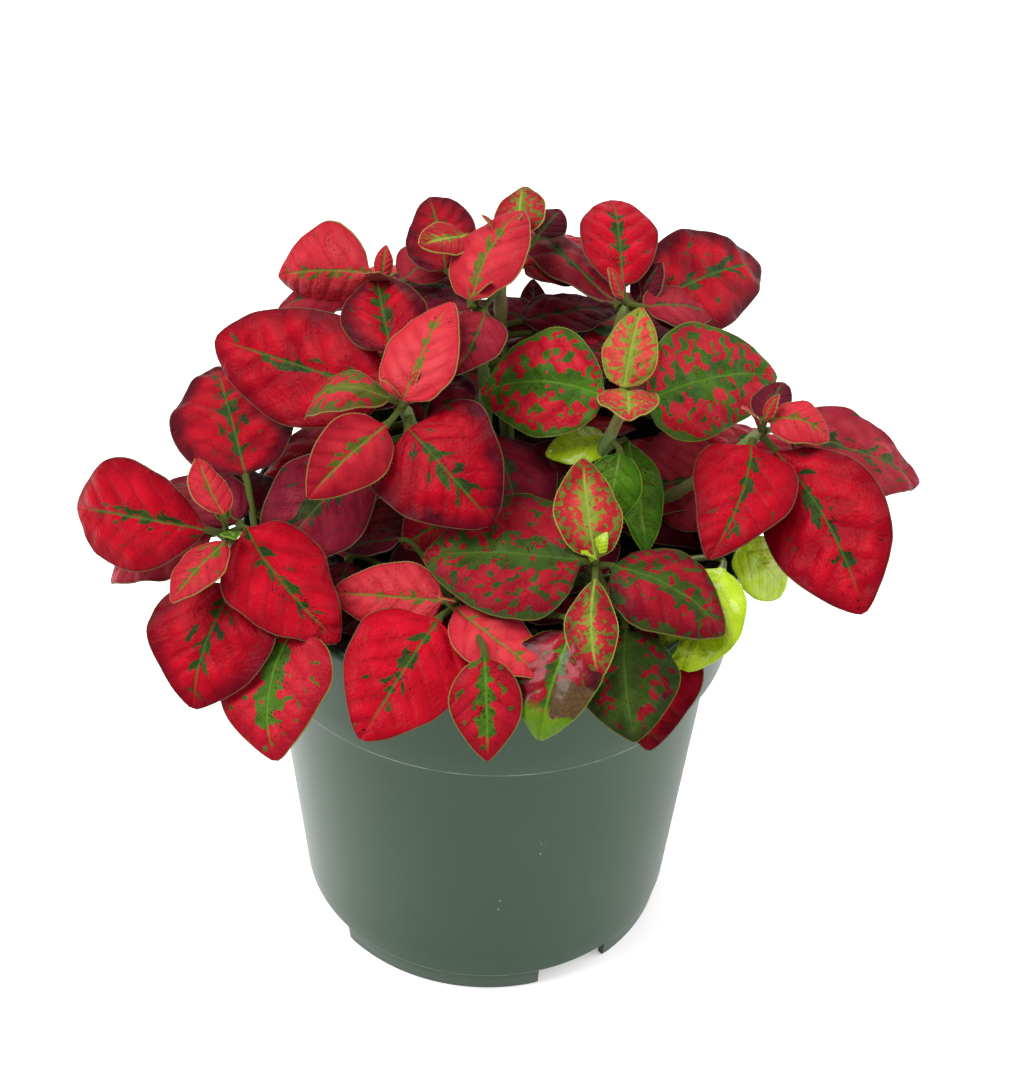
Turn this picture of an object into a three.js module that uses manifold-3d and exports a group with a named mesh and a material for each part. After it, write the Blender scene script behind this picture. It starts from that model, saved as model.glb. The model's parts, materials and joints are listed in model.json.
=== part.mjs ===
// A polka dot plant in a round nursery pot, in millimetres, +Z up, with the front of the plant towards -Y.
// The pot stands on z = 0. Ten leafy shoots are rooted in the soil. Every leaf is a solid of its own:
// a blade and its leaf stalk, which ends just clear of the shoot that bears it.

import * as THREE from "three";
import { mergeVertices } from "three/addons/utils/BufferGeometryUtils.js";
import Module from "manifold-3d";

const wasm = await Module();
wasm.setup();

// ---------------------------------------------------------------- driving dimensions

const POT = {
  height: 98.5,
  rimRadius: 51, // top of the band, outside
  bandFoot: 74.2, // where the band under the rim starts
  bandFootRadius: 49.4,
  bodyTopRadius: 46.4,
  bodyFootRadius: 40.4,
  footHeight: 4.8,
  footRadius: 39.8, // foot ring, outside, at the top
  footToeRadius: 39.4, // foot ring, outside, at the bottom
  wall: 1.2,
  footWall: 1.6,
  footStep: 0.3, // rise of the ledge between the foot ring and the body
  bandStep: 0.4, // rise of the ledge under the band
  lip: { inset: 0.4, drop: 0.6 }, // the rim's bevelled outer edge
  facets: 48,
};
const NOTCH = { count: 4, first: 30, angle: 24, margin: 1, facets: 4 }; // drain notches in the foot ring
const DRAIN = { radius: 4, reach: 29, facets: 12 }; // drain holes in the floor, one beside each notch

// The soil is lowest at its edge and rises over a shoulder and a brow, given as shares of its radius.
const SOIL = {
  edge: 84.5,
  shoulder: { share: 0.75, z: 85.7 },
  brow: { share: 0.4, z: 86.9 },
  crown: 87.5,
  clearance: 0.35,
  facets: 32,
};
const STEM = { radius: 1.5, sides: 6, steps: 7, rootDepth: 14, socketGap: 0.35, samples: 80 };
const LEAF = {
  thickness: 0.5,
  stalkRadius: 0.7,
  stalkGap: 0.3, // between the end of the leaf stalk and its stem
  stalkStep: 0.1, // how finely that end is placed
  stations: 8, // sections of the blade between its base and its tip
  crowding: 0.12, // how far the sections are drawn together at both ends
  tip: 0.995, // where the last section stands, as a share of the length
};

// ---------------------------------------------------------------- colours

const COLOURS = {
  pot: 0x31473a,
  soil: 0x1c1613,
  stem: 0x5c7a3a,
  red: 0xc4182c,
  mottled: 0x5f8a2b,
  young: 0xdc5a56,
  dull: 0x9a3348,
  lime: 0xa9c91f,
  green: 0x4c7a26,
};
const ROUGHNESS = { pot: 0.4, soil: 0.95, stem: 0.6 };
const LEAF_ROUGHNESS = 0.45;

function material(finish) {
  return new THREE.MeshStandardMaterial({
    color: COLOURS[finish],
    roughness: ROUGHNESS[finish] ?? LEAF_ROUGHNESS,
    metalness: 0,
  });
}

// ---------------------------------------------------------------- the shoots and their leaves

// leaf(kind, [x, y, z], heading, slope, length, width, roll, shape)
//   [x, y, z]  where the blade starts
//   heading    0 points to the front, 90 to the right, 180 to the back
//   slope      how far the tip rises, in degrees; roll  how far the blade's right edge is turned down
//   shape      arch and bow: height and sideways bend of the midrib, as a share of the length
//              fold: how steeply the two halves fall away from the midrib
//              belly: below 1 the blade is widest near its base; full: below 1 its outline is fuller
//              node: the share of the stem below the leaf; without it the leaf grows from the nearest point
const SHAPE = { arch: 0.05, bow: 0, fold: 0.06, belly: 0.8, full: 0.74 };

function leaf(kind, base, heading, slope, length, width, roll, shape = {}) {
  return { kind, base: new THREE.Vector3(...base), heading, slope, length, width, roll, ...SHAPE, ...shape };
}

// Each shoot runs through its points, from the soil up to its tip.
const SHOOTS = {
  left: {
    path: [[-10, -4, 84], [-24, -12, 91], [-38, -20, 98], [-46, -25, 105], [-50, -28, 115]],
    leaves: [
      leaf("red", [-53.2, -28.4, 116.4], -113, -9, 30, 22, -66, { arch: 0.13, bow: 0.04, belly: 1.1 }),
      leaf("young", [-50.2, -28.8, 120.2], -150, 27, 13, 9, 20, { arch: 0, bow: -0.03, full: 0.8 }),
      leaf("young", [-49.4, -31.4, 116.4], -38, -19, 16, 10, 5, { belly: 0.9, full: 0.8 }),
      leaf("red", [-46.6, -27, 116.2], 51, -32, 28, 22, 4, { arch: 0.02, bow: 0.06, belly: 0.7 }),
      leaf("red", [-47.5, -34, 108.5], -23, -40, 25, 25, -4, { arch: 0.08, bow: 0.05 }),
      leaf("mottled", [-37, -44, 101], -7, -36, 21, 22, 15, { arch: 0.06, bow: 0.1, belly: 0.73 }),
      leaf("red", [-49, -5, 111], -165, 0, 40, 25, -5, { arch: 0.03 }),
    ],
  },
  centre_left: {
    path: [[-6, 0, 84], [-9, 0, 98], [-14, -2, 115], [-18, -6, 130]],
    leaves: [
      leaf("young", [-18, -8, 132], 154, 31, 23, 16, -7, { arch: 0.08, belly: 0.65 }),
      leaf("young", [-20, -6, 131], -101, -21, 19, 12, -7, { arch: 0.3, fold: 0.2, belly: 0.98 }),
      leaf("red", [-21, -11, 129], -45, -20, 21, 14, -40, { arch: 0.1, bow: 0.03, belly: 0.76 }),
      leaf("red", [-17, -9, 127], 46, -23, 25, 26, 32, { arch: 0.09, belly: 0.55, full: 0.56 }),
      leaf("red", [-21, 3, 126], -120, -3, 43, 24, -46, { arch: 0.01, belly: 0.92, full: 0.65 }),
      leaf("dull", [-25, -6, 119], -41, -24, 30, 20, -26, { belly: 0.95 }),
      leaf("red", [-21, 6, 134], -169, 11, 22, 17, -11, { arch: 0.1, belly: 0.73 }),
    ],
  },
  back_left: {
    path: [[-8, 10, 84], [-12, 16, 100], [-19, 23, 119], [-24, 26, 135]],
    leaves: [
      leaf("red", [-26, 27, 136], -116, -19, 24, 22, -72, { bow: 0.05, fold: 0.5, belly: 0.9 }),
      leaf("red", [-26, 30, 112], -150, -30, 36, 25, 0),
    ],
  },
  back_centre: {
    path: [[-1, 9, 84], [-2, 13, 102], [-3, 17, 122], [-5, 15, 139]],
    leaves: [
      leaf("mottled", [-6, 12, 142], 157, 17, 26, 16, -11, { arch: 0.08, bow: -0.02, fold: 0.1 }),
      leaf("dull", [-3, 12, 140], -24, -26, 15, 12, -7, { bow: -0.05, belly: 0.66, full: 0.8 }),
    ],
  },
  rear: {
    path: [[3, 14, 84], [2, 21, 106], [0, 27, 128], [0, 30, 144]],
    leaves: [
      leaf("dull", [-11, 26, 140], -168, 13, 22, 15, -25, { bow: 0.03, full: 0.8 }),
      leaf("young", [4, 32, 145], 180, 16, 14, 11, -16, { arch: 0.07, bow: -0.04, full: 0.8 }),
      leaf("red", [-6, 42, 116], 180, -35, 36, 25, 0),
      leaf("mottled", [12, 42, 112], 160, -40, 34, 24, 0),
    ],
  },
  back_right: {
    path: [[10, 12, 84], [15, 17, 103], [21, 20, 121], [25, 21, 137]],
    leaves: [
      leaf("dull", [23, 22, 136], -150, -2, 36, 11, -3, { arch: 0.1, bow: -0.06, fold: 0.3, belly: 1.05 }),
      leaf("red", [24, 23, 139], -176, 13, 26, 16, 2, { arch: 0.1, belly: 0.95, full: 0.7 }),
      leaf("red", [28, 22, 135], 137, -9, 40, 22, 40, { arch: 0.07, bow: -0.03, full: 0.7 }),
      leaf("red", [34, 34, 112], 150, -35, 34, 24, 0),
      leaf("red", [42, 22, 106], 115, -35, 30, 22, 0),
    ],
  },
  centre_right: {
    path: [[8, 0, 84], [13, 0, 98], [20, -1, 115], [25, -1, 130]],
    leaves: [
      leaf("mottled", [21, 0, 129], -113, -15, 28, 22, -44, { arch: 0.06, bow: 0.09, belly: 0.84 }),
      leaf("mottled", [28, 1, 127], 129, -13, 39, 23, 52, { arch: 0.02, bow: -0.06, belly: 0.76 }),
      leaf("young", [24, 0, 131], 166, 40, 17, 11, -4, { arch: 0.06, belly: 0.75 }),
      leaf("green", [26, 5, 115], 9, -26, 25, 11, -15, { full: 0.8 }),
    ],
  },
  right: {
    path: [[13, 4, 84], [27, 4, 96], [41, 3, 108], [52, 3, 120]],
    leaves: [
      leaf("young", [53, 4, 122], 78, -12, 13, 10, 23, { arch: 0.2, bow: -0.06, fold: 0.2 }),
      leaf("dull", [57, 9, 116], 91, -22, 32, 24, 8, { arch: 0.09, bow: 0.05 }),
      leaf("red", [50, 1, 118], -21, -22, 27, 21, -2, { bow: -0.07, belly: 0.55, full: 0.7 }),
      leaf("red", [55, 2, 116], 27, -23, 38, 25, 36, { arch: 0.03, bow: -0.06, belly: 0.9, full: 0.7 }),
      leaf("dull", [47, 13, 102], -81, -11, 19, 22, -40, { arch: 0.03, bow: -0.04, belly: 1 }),
      leaf("lime", [47, -14, 102.5], 71, -38, 14, 13, 15, { arch: 0.12, belly: 1, full: 0.65 }),
    ],
  },
  front_right: {
    path: [[7, -7, 84], [11, -14, 93], [17, -23, 102], [19, -29, 111]],
    leaves: [
      leaf("young", [19, -30, 113], -173, 25, 22, 13, 5, { arch: 0.09, bow: -0.04, belly: 0.73, full: 0.8 }),
      leaf("young", [19, -34, 112], 3, -28, 20, 10, 6, { arch: 0.02, bow: 0.06, belly: 1.03, full: 0.8 }),
      leaf("mottled", [17, -30, 112.7], -97, -5, 31, 29, -16, { arch: 0.02, bow: 0.03, belly: 0.75 }),
      leaf("mottled", [22, -29, 111], 65, -17, 25, 20, 10, { arch: 0.1, bow: -0.05, fold: 0.25 }),
      leaf("mottled", [25, -38, 103.5], 6, -32, 22, 21, -6, { bow: 0.05, full: 0.8 }),
      leaf("lime", [46.3, -23, 108.9], -25, -31, 22, 15, 4, { arch: 0.06, belly: 1, node: 0.62 }),
    ],
  },
  front_left: {
    path: [[-3, -8, 84], [-4, -17, 90], [-6, -27, 96], [-7, -34, 104]],
    leaves: [
      leaf("young", [-9, -33, 104.5], -103, -8, 23, 14, -38, { belly: 0.73 }),
      leaf("young", [-7, -36, 105.5], 50, -10, 22, 14, 8, { bow: 0.03 }),
      leaf("red", [-10, -38, 104.4], -30, -20, 28, 24, -15, { arch: 0.06, belly: 0.67, full: 0.66 }),
      leaf("red", [-1, -51, 102], 5, -49, 15.5, 12, 0, { arch: 0.06, fold: 0.1, full: 0.8, node: 0.86 }),
      leaf("dull", [13.5, -45.5, 103], -20, -40, 16, 15, 0, { arch: 0.13, belly: 0.73, node: 0.8 }),
    ],
  },
};

// ---------------------------------------------------------------- solids

// A geometry as a manifold solid, with its shared vertices merged.
function toSolid(geometry) {
  const bare = geometry.clone();
  bare.deleteAttribute("normal");
  bare.deleteAttribute("uv");
  const merged = mergeVertices(bare, 1e-4);
  return new wasm.Manifold(new wasm.Mesh({
    numProp: 3,
    vertProperties: new Float32Array(merged.attributes.position.array),
    triVerts: new Uint32Array(merged.index.array),
  }));
}

function toGeometry(solid) {
  const mesh = solid.getMesh();
  const geometry = new THREE.BufferGeometry();
  geometry.setAttribute("position", new THREE.BufferAttribute(new Float32Array(mesh.vertProperties), 3));
  geometry.setIndex(new THREE.BufferAttribute(new Uint32Array(mesh.triVerts), 1));
  return geometry;
}

// A closed skin through rings of points, all with the same count, with a flat cap at each end.
function loft(rings) {
  const points = rings.flat();
  const sides = rings[0].length;
  const index = [];
  for (let ring = 0; ring + 1 < rings.length; ring++) {
    for (let side = 0; side < sides; side++) {
      const here = ring * sides + side;
      const next = ring * sides + ((side + 1) % sides);
      index.push(here, next + sides, next, here, here + sides, next + sides);
    }
  }
  const last = (rings.length - 1) * sides;
  for (let side = 1; side + 1 < sides; side++) {
    index.push(0, side, side + 1);
    index.push(last, last + side + 1, last + side);
  }
  const geometry = new THREE.BufferGeometry().setFromPoints(points);
  geometry.setIndex(index);
  return geometry;
}

function named(name, geometry, finish) {
  const mesh = new THREE.Mesh(geometry, material(finish));
  mesh.name = name;
  return mesh;
}

// ---------------------------------------------------------------- pot

function wallRadius(z) {
  const share = (z - POT.footHeight) / (POT.bandFoot - POT.footHeight);
  return POT.bodyFootRadius + (POT.bodyTopRadius - POT.bodyFootRadius) * share;
}

function potBody() {
  const floorTop = POT.footHeight + POT.wall;
  const shelf = POT.bandFoot + POT.wall;
  const inner = (z) => wallRadius(z) - POT.wall;
  const outline = [
    [0, POT.footHeight],
    [POT.footToeRadius - POT.footWall, POT.footHeight],
    [POT.footToeRadius - POT.footWall, 0],
    [POT.footToeRadius, 0],
    [POT.footRadius, POT.footHeight],
    [POT.bodyFootRadius, POT.footHeight + POT.footStep],
    [POT.bodyTopRadius, POT.bandFoot],
    [POT.bandFootRadius, POT.bandFoot + POT.bandStep],
    [POT.rimRadius, POT.height - POT.lip.drop],
    [POT.rimRadius - POT.lip.inset, POT.height],
    [POT.rimRadius - POT.wall, POT.height],
    [POT.bandFootRadius - POT.wall, shelf + POT.bandStep],
    [inner(shelf), shelf],
    [inner(floorTop), floorTop],
    [0, floorTop],
  ];
  return new THREE.LatheGeometry(outline.map(([r, z]) => new THREE.Vector2(r, z)), POT.facets)
    .rotateX(Math.PI / 2);
}

// The part of a ring between two radii that one notch takes out, from below the foot up to the floor.
function notchWedge(centre) {
  const half = THREE.MathUtils.degToRad(NOTCH.angle / 2);
  const middle = THREE.MathUtils.degToRad(centre - 90);
  const near = POT.footToeRadius - POT.footWall - NOTCH.margin;
  const far = POT.footRadius + NOTCH.margin;
  const depth = POT.footHeight + NOTCH.margin;
  const shape = new THREE.Shape();
  shape.absarc(0, 0, far, middle - half, middle + half, false);
  shape.absarc(0, 0, near, middle + half, middle - half, true);
  return new THREE.ExtrudeGeometry(shape, { depth, bevelEnabled: false, curveSegments: NOTCH.facets })
    .translate(0, 0, -NOTCH.margin);
}

function drainHole(centre) {
  const angle = THREE.MathUtils.degToRad(centre - 90);
  return new THREE.CylinderGeometry(DRAIN.radius, DRAIN.radius, 4 * POT.wall, DRAIN.facets)
    .rotateX(Math.PI / 2)
    .translate(DRAIN.reach * Math.cos(angle), DRAIN.reach * Math.sin(angle), POT.footHeight);
}

function pot() {
  let solid = toSolid(potBody());
  for (let i = 0; i < NOTCH.count; i++) {
    const centre = NOTCH.first + (i * 360) / NOTCH.count;
    solid = solid.subtract(toSolid(notchWedge(centre))).subtract(toSolid(drainHole(centre)));
  }
  return named("pot", toGeometry(solid), "pot");
}

// ---------------------------------------------------------------- stems

function shootCurve(path) {
  const [foot, ...rest] = path.map((p) => new THREE.Vector3(...p));
  const root = foot.clone().setZ(foot.z - STEM.rootDepth);
  return new THREE.CatmullRomCurve3([root, foot, ...rest], false, "centripetal");
}

function stem(curve, radius) {
  const section = new THREE.Shape();
  for (let i = 0; i < STEM.sides; i++) {
    const angle = (2 * Math.PI * i) / STEM.sides;
    const [x, y] = [radius * Math.cos(angle), radius * Math.sin(angle)];
    if (i === 0) section.moveTo(x, y);
    else section.lineTo(x, y);
  }
  section.closePath();
  return new THREE.ExtrudeGeometry(section, { steps: STEM.steps, extrudePath: curve });
}

// ---------------------------------------------------------------- soil

function soil(curves) {
  const gap = SOIL.clearance;
  const bottom = POT.footHeight + POT.wall + gap;
  const inner = (z) => wallRadius(z) - POT.wall - gap;
  const shelf = POT.bandFoot + POT.wall;
  const bandInner = POT.bandFootRadius - POT.wall - gap;
  const outline = [
    [0, bottom],
    [inner(bottom), bottom],
    [inner(shelf), shelf + gap],
    [bandInner, shelf + POT.bandStep + 2 * gap],
    [bandInner, SOIL.edge],
    [bandInner * SOIL.shoulder.share, SOIL.shoulder.z],
    [bandInner * SOIL.brow.share, SOIL.brow.z],
    [0, SOIL.crown],
  ];
  const lathe = new THREE.LatheGeometry(outline.map(([r, z]) => new THREE.Vector2(r, z)), SOIL.facets)
    .rotateX(Math.PI / 2);
  let solid = toSolid(lathe);
  for (const curve of curves) solid = solid.subtract(toSolid(stem(curve, STEM.radius + STEM.socketGap)));
  return named("soil", toGeometry(solid), "soil");
}

// ---------------------------------------------------------------- leaves

// The leaf's own directions: along its midrib, across to its right edge, and out of its upper face.
function leafAxes({ heading, slope, roll }) {
  const [h, s, r] = [heading, slope, roll].map(THREE.MathUtils.degToRad);
  const along = new THREE.Vector3(Math.sin(h) * Math.cos(s), -Math.cos(h) * Math.cos(s), Math.sin(s));
  const level = new THREE.Vector3().crossVectors(along, new THREE.Vector3(0, 0, 1)).normalize();
  const upright = new THREE.Vector3().crossVectors(level, along);
  const across = level.clone().multiplyScalar(Math.cos(r)).addScaledVector(upright, -Math.sin(r));
  const out = upright.clone().multiplyScalar(Math.cos(r)).addScaledVector(level, Math.sin(r));
  return { along, across, out };
}

// A six-sided ring: right edge, top of the midrib, left edge, and the same below.
function bladeRing(spec, axes, t) {
  const { along, across, out } = axes;
  const bend = 4 * t * (1 - t) * spec.length;
  const half = 0.5 * spec.width * Math.pow(Math.sin(Math.PI * Math.pow(t, spec.belly)), spec.full);
  const middle = spec.base.clone()
    .addScaledVector(along, t * spec.length)
    .addScaledVector(out, bend * spec.arch)
    .addScaledVector(across, bend * spec.bow);
  const at = (side, lift) => middle.clone()
    .addScaledVector(across, side * half)
    .addScaledVector(out, lift - Math.abs(side) * spec.fold * half);
  const skin = LEAF.thickness / 2;
  return [at(1, skin), at(0, skin), at(-1, skin), at(-1, -skin), at(0, -skin), at(1, -skin)];
}

// The same six points as a small round stalk section, so that stalk and blade join in one skin.
// The section is turned from the blade's direction until it faces the given one.
function stalkRing(centre, axes, facing) {
  const turn = new THREE.Quaternion().setFromUnitVectors(axes.along, facing);
  const angles = [30, 90, 150, 210, 270, 330].map(THREE.MathUtils.degToRad);
  return angles.map((angle) => new THREE.Vector3()
    .addScaledVector(axes.across, LEAF.stalkRadius * Math.cos(angle))
    .addScaledVector(axes.out, LEAF.stalkRadius * Math.sin(angle))
    .applyQuaternion(turn)
    .add(centre));
}

// Points down the middle of a stem as it is extruded, straight from one section to the next.
function middleLine(curve) {
  const sections = curve.getSpacedPoints(STEM.steps);
  const line = new THREE.CurvePath();
  for (let i = 1; i < sections.length; i++) line.add(new THREE.LineCurve3(sections[i - 1], sections[i]));
  return line.getSpacedPoints(STEM.samples);
}

function nearest(samples, point) {
  return samples.reduce((a, b) => (b.distanceTo(point) < a.distanceTo(point) ? b : a));
}

// How far a point is from the skin of a stem, which ends square at its tip.
function gapToStem(curve, samples, point) {
  const node = nearest(samples, point);
  const tip = samples.at(-1);
  const rise = node === tip ? point.clone().sub(tip).dot(curve.getTangent(1)) : 0;
  const side = Math.sqrt(Math.max(node.distanceToSquared(point) - rise * rise, 0)) - STEM.radius;
  return Math.hypot(Math.max(rise, 0), Math.max(side, 0));
}

// The stalk's sections: the first, square to the stalk, is moved out from the stem's middle line until
// it is just clear of the stem, and a second one, where there is room, turns the stalk into the blade.
function stalkRings(curve, { base, node: share }, axes) {
  const samples = middleLine(curve);
  const node = share ? samples[Math.round(share * STEM.samples)] : nearest(samples, base);
  const reach = base.clone().sub(node).normalize();
  const end = node.clone();
  const touches = (point) => gapToStem(curve, samples, point) < LEAF.stalkGap;
  while (stalkRing(end, axes, reach).some(touches)) end.addScaledVector(reach, LEAF.stalkStep);
  const mitre = reach.clone().add(axes.along).normalize();
  if (end.distanceTo(base) <= LEAF.stalkRadius) return [stalkRing(end, axes, mitre)];
  return [stalkRing(end, axes, reach), stalkRing(base, axes, mitre)];
}

function leafSolid(spec, curve) {
  const axes = leafAxes(spec);
  const rings = stalkRings(curve, spec, axes);
  for (let i = 1; i <= LEAF.stations; i++) {
    const share = i / (LEAF.stations + 0.5);
    rings.push(bladeRing(spec, axes, share - LEAF.crowding * Math.sin(2 * Math.PI * share) / Math.PI));
  }
  rings.push(bladeRing(spec, axes, LEAF.tip));
  return loft(rings);
}

// ---------------------------------------------------------------- the whole plant

const plant = new THREE.Group();
const curves = Object.values(SHOOTS).map((shoot) => shootCurve(shoot.path));
plant.add(pot(), soil(curves));
Object.entries(SHOOTS).forEach(([side, shoot], i) => {
  plant.add(named(`${side}_stem`, stem(curves[i], STEM.radius), "stem"));
  shoot.leaves.forEach((spec, n) => {
    plant.add(named(`${side}_leaf_${n + 1}`, leafSolid(spec, curves[i]), spec.kind));
  });
});

// The origin is the middle of the plant's outline seen from above, on the surface that it stands on.
const middle = new THREE.Box3().setFromObject(plant).getCenter(new THREE.Vector3());
plant.position.set(-middle.x, -middle.y, 0);

export default plant;
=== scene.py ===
"""A polka dot plant in a dark green nursery pot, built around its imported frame.

The plant's solids give the stems and the full leaves their places and sizes. Each one is read back
from the frame as a figure, and a fine surface with veins, quilting and hair is skinned over that
figure. The small leaves, which have no solid, are placed on the same stems. Lengths are in
millimetres until a mesh is made.
"""

import json
import math
from collections import defaultdict
from dataclasses import dataclass, replace

import bpy
import numpy as np
from mathutils import Matrix, Quaternion, Vector, noise


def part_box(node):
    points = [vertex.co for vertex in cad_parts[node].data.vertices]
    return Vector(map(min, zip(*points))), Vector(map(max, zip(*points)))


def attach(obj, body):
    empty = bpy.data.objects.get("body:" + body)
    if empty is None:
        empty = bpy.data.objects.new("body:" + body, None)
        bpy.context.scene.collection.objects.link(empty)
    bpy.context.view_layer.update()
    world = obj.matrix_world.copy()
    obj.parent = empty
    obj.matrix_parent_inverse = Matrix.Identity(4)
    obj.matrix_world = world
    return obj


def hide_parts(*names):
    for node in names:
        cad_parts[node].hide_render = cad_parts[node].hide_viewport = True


bl_info = {
    "name": "Potted Polka Dot Plant",
    "version": (1, 0, 0),
    "blender": (4, 5, 0),
    "location": "3D View > Sidebar > Plant",
    "description": "Builds a red-leaved polka dot plant in a nursery pot around its packed frame",
    "category": "Add Mesh",
}

MM = 0.001
BODY = "root"

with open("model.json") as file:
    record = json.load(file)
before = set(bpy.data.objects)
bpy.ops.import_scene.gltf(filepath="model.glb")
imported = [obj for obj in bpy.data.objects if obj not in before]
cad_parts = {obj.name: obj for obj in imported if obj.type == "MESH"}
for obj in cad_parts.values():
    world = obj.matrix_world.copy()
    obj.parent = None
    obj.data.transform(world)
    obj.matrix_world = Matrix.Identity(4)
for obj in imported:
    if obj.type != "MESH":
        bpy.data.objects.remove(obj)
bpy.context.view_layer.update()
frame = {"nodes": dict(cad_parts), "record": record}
SLOT_OF = {part["node"]: part["material_slot"] for part in frame["record"]["subparts"]}
POT_BOX = np.array([list(corner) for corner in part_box("pot")]) / MM
AXIS = POT_BOX.mean(0) * [1, 1, 0]  # the foot of the pot's middle line
UP = np.array([0.0, 0.0, 1.0])


# ---------------- colours


def paint(red, green, blue):
    """A colour given as 0 to 255 on a screen, as Blender's linear red, green and blue."""
    shares = np.array([red, green, blue]) / 255
    return tuple(np.where(shares <= 0.04045, shares / 12.92, ((shares + 0.055) / 1.055) ** 2.4))


STALK = paint(66, 72, 30)
DEEP_GREEN = paint(22, 34, 14)
DRIED_DARK = paint(34, 22, 12)
DRIED_PALE = paint(96, 72, 42)


@dataclass
class LeafPaint:
    """The colours of one kind of leaf."""

    field: tuple  # the open blade between the veins
    bright: tuple  # the palest parts of it, and the painted highlight on its bulges
    wine: tuple  # its darkest parts, towards the margin, also used for painted shade in creases and hollows
    green: tuple  # what spreads from the veins
    rib: tuple  # the line of the midrib
    edge: tuple  # the hairy margin
    speck: tuple
    under: tuple  # the lower face
    roughness: float = 0.42
    coat: float = 0.0
    pucker: float = 1.0
    dried: float = 0.0  # how much of a brown dried patch it has
    spots: float = 520.0  # how fine its splashes are


LEAF_PAINTS = {
    "red": LeafPaint(
        field=paint(146, 2, 20), bright=paint(180, 12, 34), wine=paint(66, 1, 14),
        green=paint(28, 46, 16), rib=paint(58, 80, 28), edge=paint(90, 76, 48),
        speck=paint(30, 14, 10), under=paint(118, 38, 52),
    ),
    "mottled": LeafPaint(
        field=paint(150, 10, 28), bright=paint(182, 34, 46), wine=paint(84, 4, 20),
        green=paint(40, 70, 14), rib=paint(74, 110, 28), edge=paint(98, 122, 44),
        speck=paint(40, 18, 12), under=paint(98, 78, 56),
    ),
    "young": LeafPaint(
        field=paint(164, 30, 42), bright=paint(182, 56, 60), wine=paint(116, 8, 22),
        green=paint(74, 78, 22), rib=paint(92, 98, 34), edge=paint(122, 120, 66),
        speck=paint(62, 26, 16), under=paint(140, 60, 60),
    ),
    "tender": LeafPaint(
        field=paint(172, 48, 46), bright=paint(186, 82, 64), wine=paint(122, 14, 24),
        green=paint(100, 108, 34), rib=paint(124, 138, 50), edge=paint(136, 148, 66),
        speck=paint(84, 28, 18), under=paint(140, 100, 70), spots=900.0,
    ),
    # A paler, greyer red: the leaf's own dusty tone with a painted sheen mixed into it.
    "dusty_sheen": LeafPaint(
        field=paint(128, 22, 36), bright=paint(152, 46, 54), wine=paint(78, 6, 20),
        green=paint(32, 46, 18), rib=paint(70, 80, 36), edge=paint(104, 100, 62),
        speck=paint(40, 14, 14), under=paint(118, 50, 58), roughness=0.46,
    ),
    "dull": LeafPaint(
        field=paint(104, 12, 30), bright=paint(130, 36, 52), wine=paint(52, 4, 18),
        green=paint(30, 42, 18), rib=paint(64, 68, 38), edge=paint(98, 92, 64),
        speck=paint(34, 10, 14), under=paint(104, 44, 56), roughness=0.5,
    ),
    "shaded": LeafPaint(
        field=paint(124, 8, 24), bright=paint(154, 24, 36), wine=paint(62, 4, 14),
        green=paint(34, 52, 12), rib=paint(62, 86, 28), edge=paint(84, 100, 40),
        speck=paint(60, 8, 14), under=paint(98, 78, 56),
    ),
    "dried": LeafPaint(
        field=paint(132, 4, 22), bright=paint(160, 18, 38), wine=paint(52, 2, 12),
        green=paint(34, 56, 10), rib=paint(78, 116, 8), edge=paint(98, 122, 24),
        speck=paint(40, 8, 8), under=paint(98, 60, 46), roughness=0.3, coat=0.25, pucker=1.6,
        dried=1.0,
    ),
    "lime": LeafPaint(
        field=paint(146, 172, 14), bright=paint(172, 192, 52), wine=paint(122, 152, 10),
        green=paint(124, 156, 12), rib=paint(152, 178, 50), edge=paint(138, 166, 30),
        speck=paint(100, 124, 14), under=paint(136, 158, 48), roughness=0.3, coat=0.4,
        pucker=1.5,
    ),
    "green": LeafPaint(
        field=paint(52, 94, 10), bright=paint(84, 124, 24), wine=paint(28, 58, 10),
        green=paint(44, 84, 14), rib=paint(92, 122, 38), edge=paint(110, 140, 30),
        speck=paint(60, 10, 14), under=paint(78, 98, 50), roughness=0.34,
    ),
}


# ---------------- what a user may change


def length_option(name, description, default, highest, lowest=0.0):
    """A length in metres."""
    return bpy.props.FloatProperty(
        name=name, description=description, default=default, min=lowest, max=highest,
        unit="LENGTH", precision=5,
    )


def colour_option(name, description, default):
    """A colour as linear red, green and blue."""
    return bpy.props.FloatVectorProperty(
        name=name, description=description, default=default, size=3, subtype="COLOR", min=0.0,
        max=1.0,
    )


class PlantSizes(bpy.types.PropertyGroup):
    """Sizes of the visible surface, on top of those that the frame sets."""

    leaf_thickness: length_option(
        "Leaf thickness", "Thickness of a blade away from its veins", 0.00036, 0.001, 0.0001
    )
    quilting: length_option(
        "Quilting", "How far a full-sized blade rises between its side veins", 0.00045, 0.002
    )
    vein_spacing: bpy.props.FloatProperty(
        name="Vein spacing", description="Distance between side veins, as a share of the blade",
        default=0.17, min=0.08, max=0.4, subtype="FACTOR",
    )
    stem_foot: length_option(
        "Stem at the soil", "Radius of a stem where it leaves the soil", 0.0015, 0.003, 0.0005
    )
    stem_tip: length_option(
        "Stem at the tip", "Radius of a stem at its last pair of leaves", 0.00105, 0.003, 0.0005
    )
    hair: length_option("Hair", "Length of the hairs on margins and stems", 0.0004, 0.002)


class PlantColours(bpy.types.PropertyGroup):
    """Colours of the pot, the soil, the stems and the floor."""

    pot: colour_option("Pot", "Colour of the moulded pot", paint(30, 57, 36))
    soil: colour_option("Soil", "Colour of the moist potting mix", paint(40, 29, 23))
    stem: colour_option("Stem", "Colour of a young stem", paint(84, 108, 48))
    floor: colour_option("Floor", "Colour of the plain floor", (0.9, 0.9, 0.9))


# ---------------- shader maths


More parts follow.
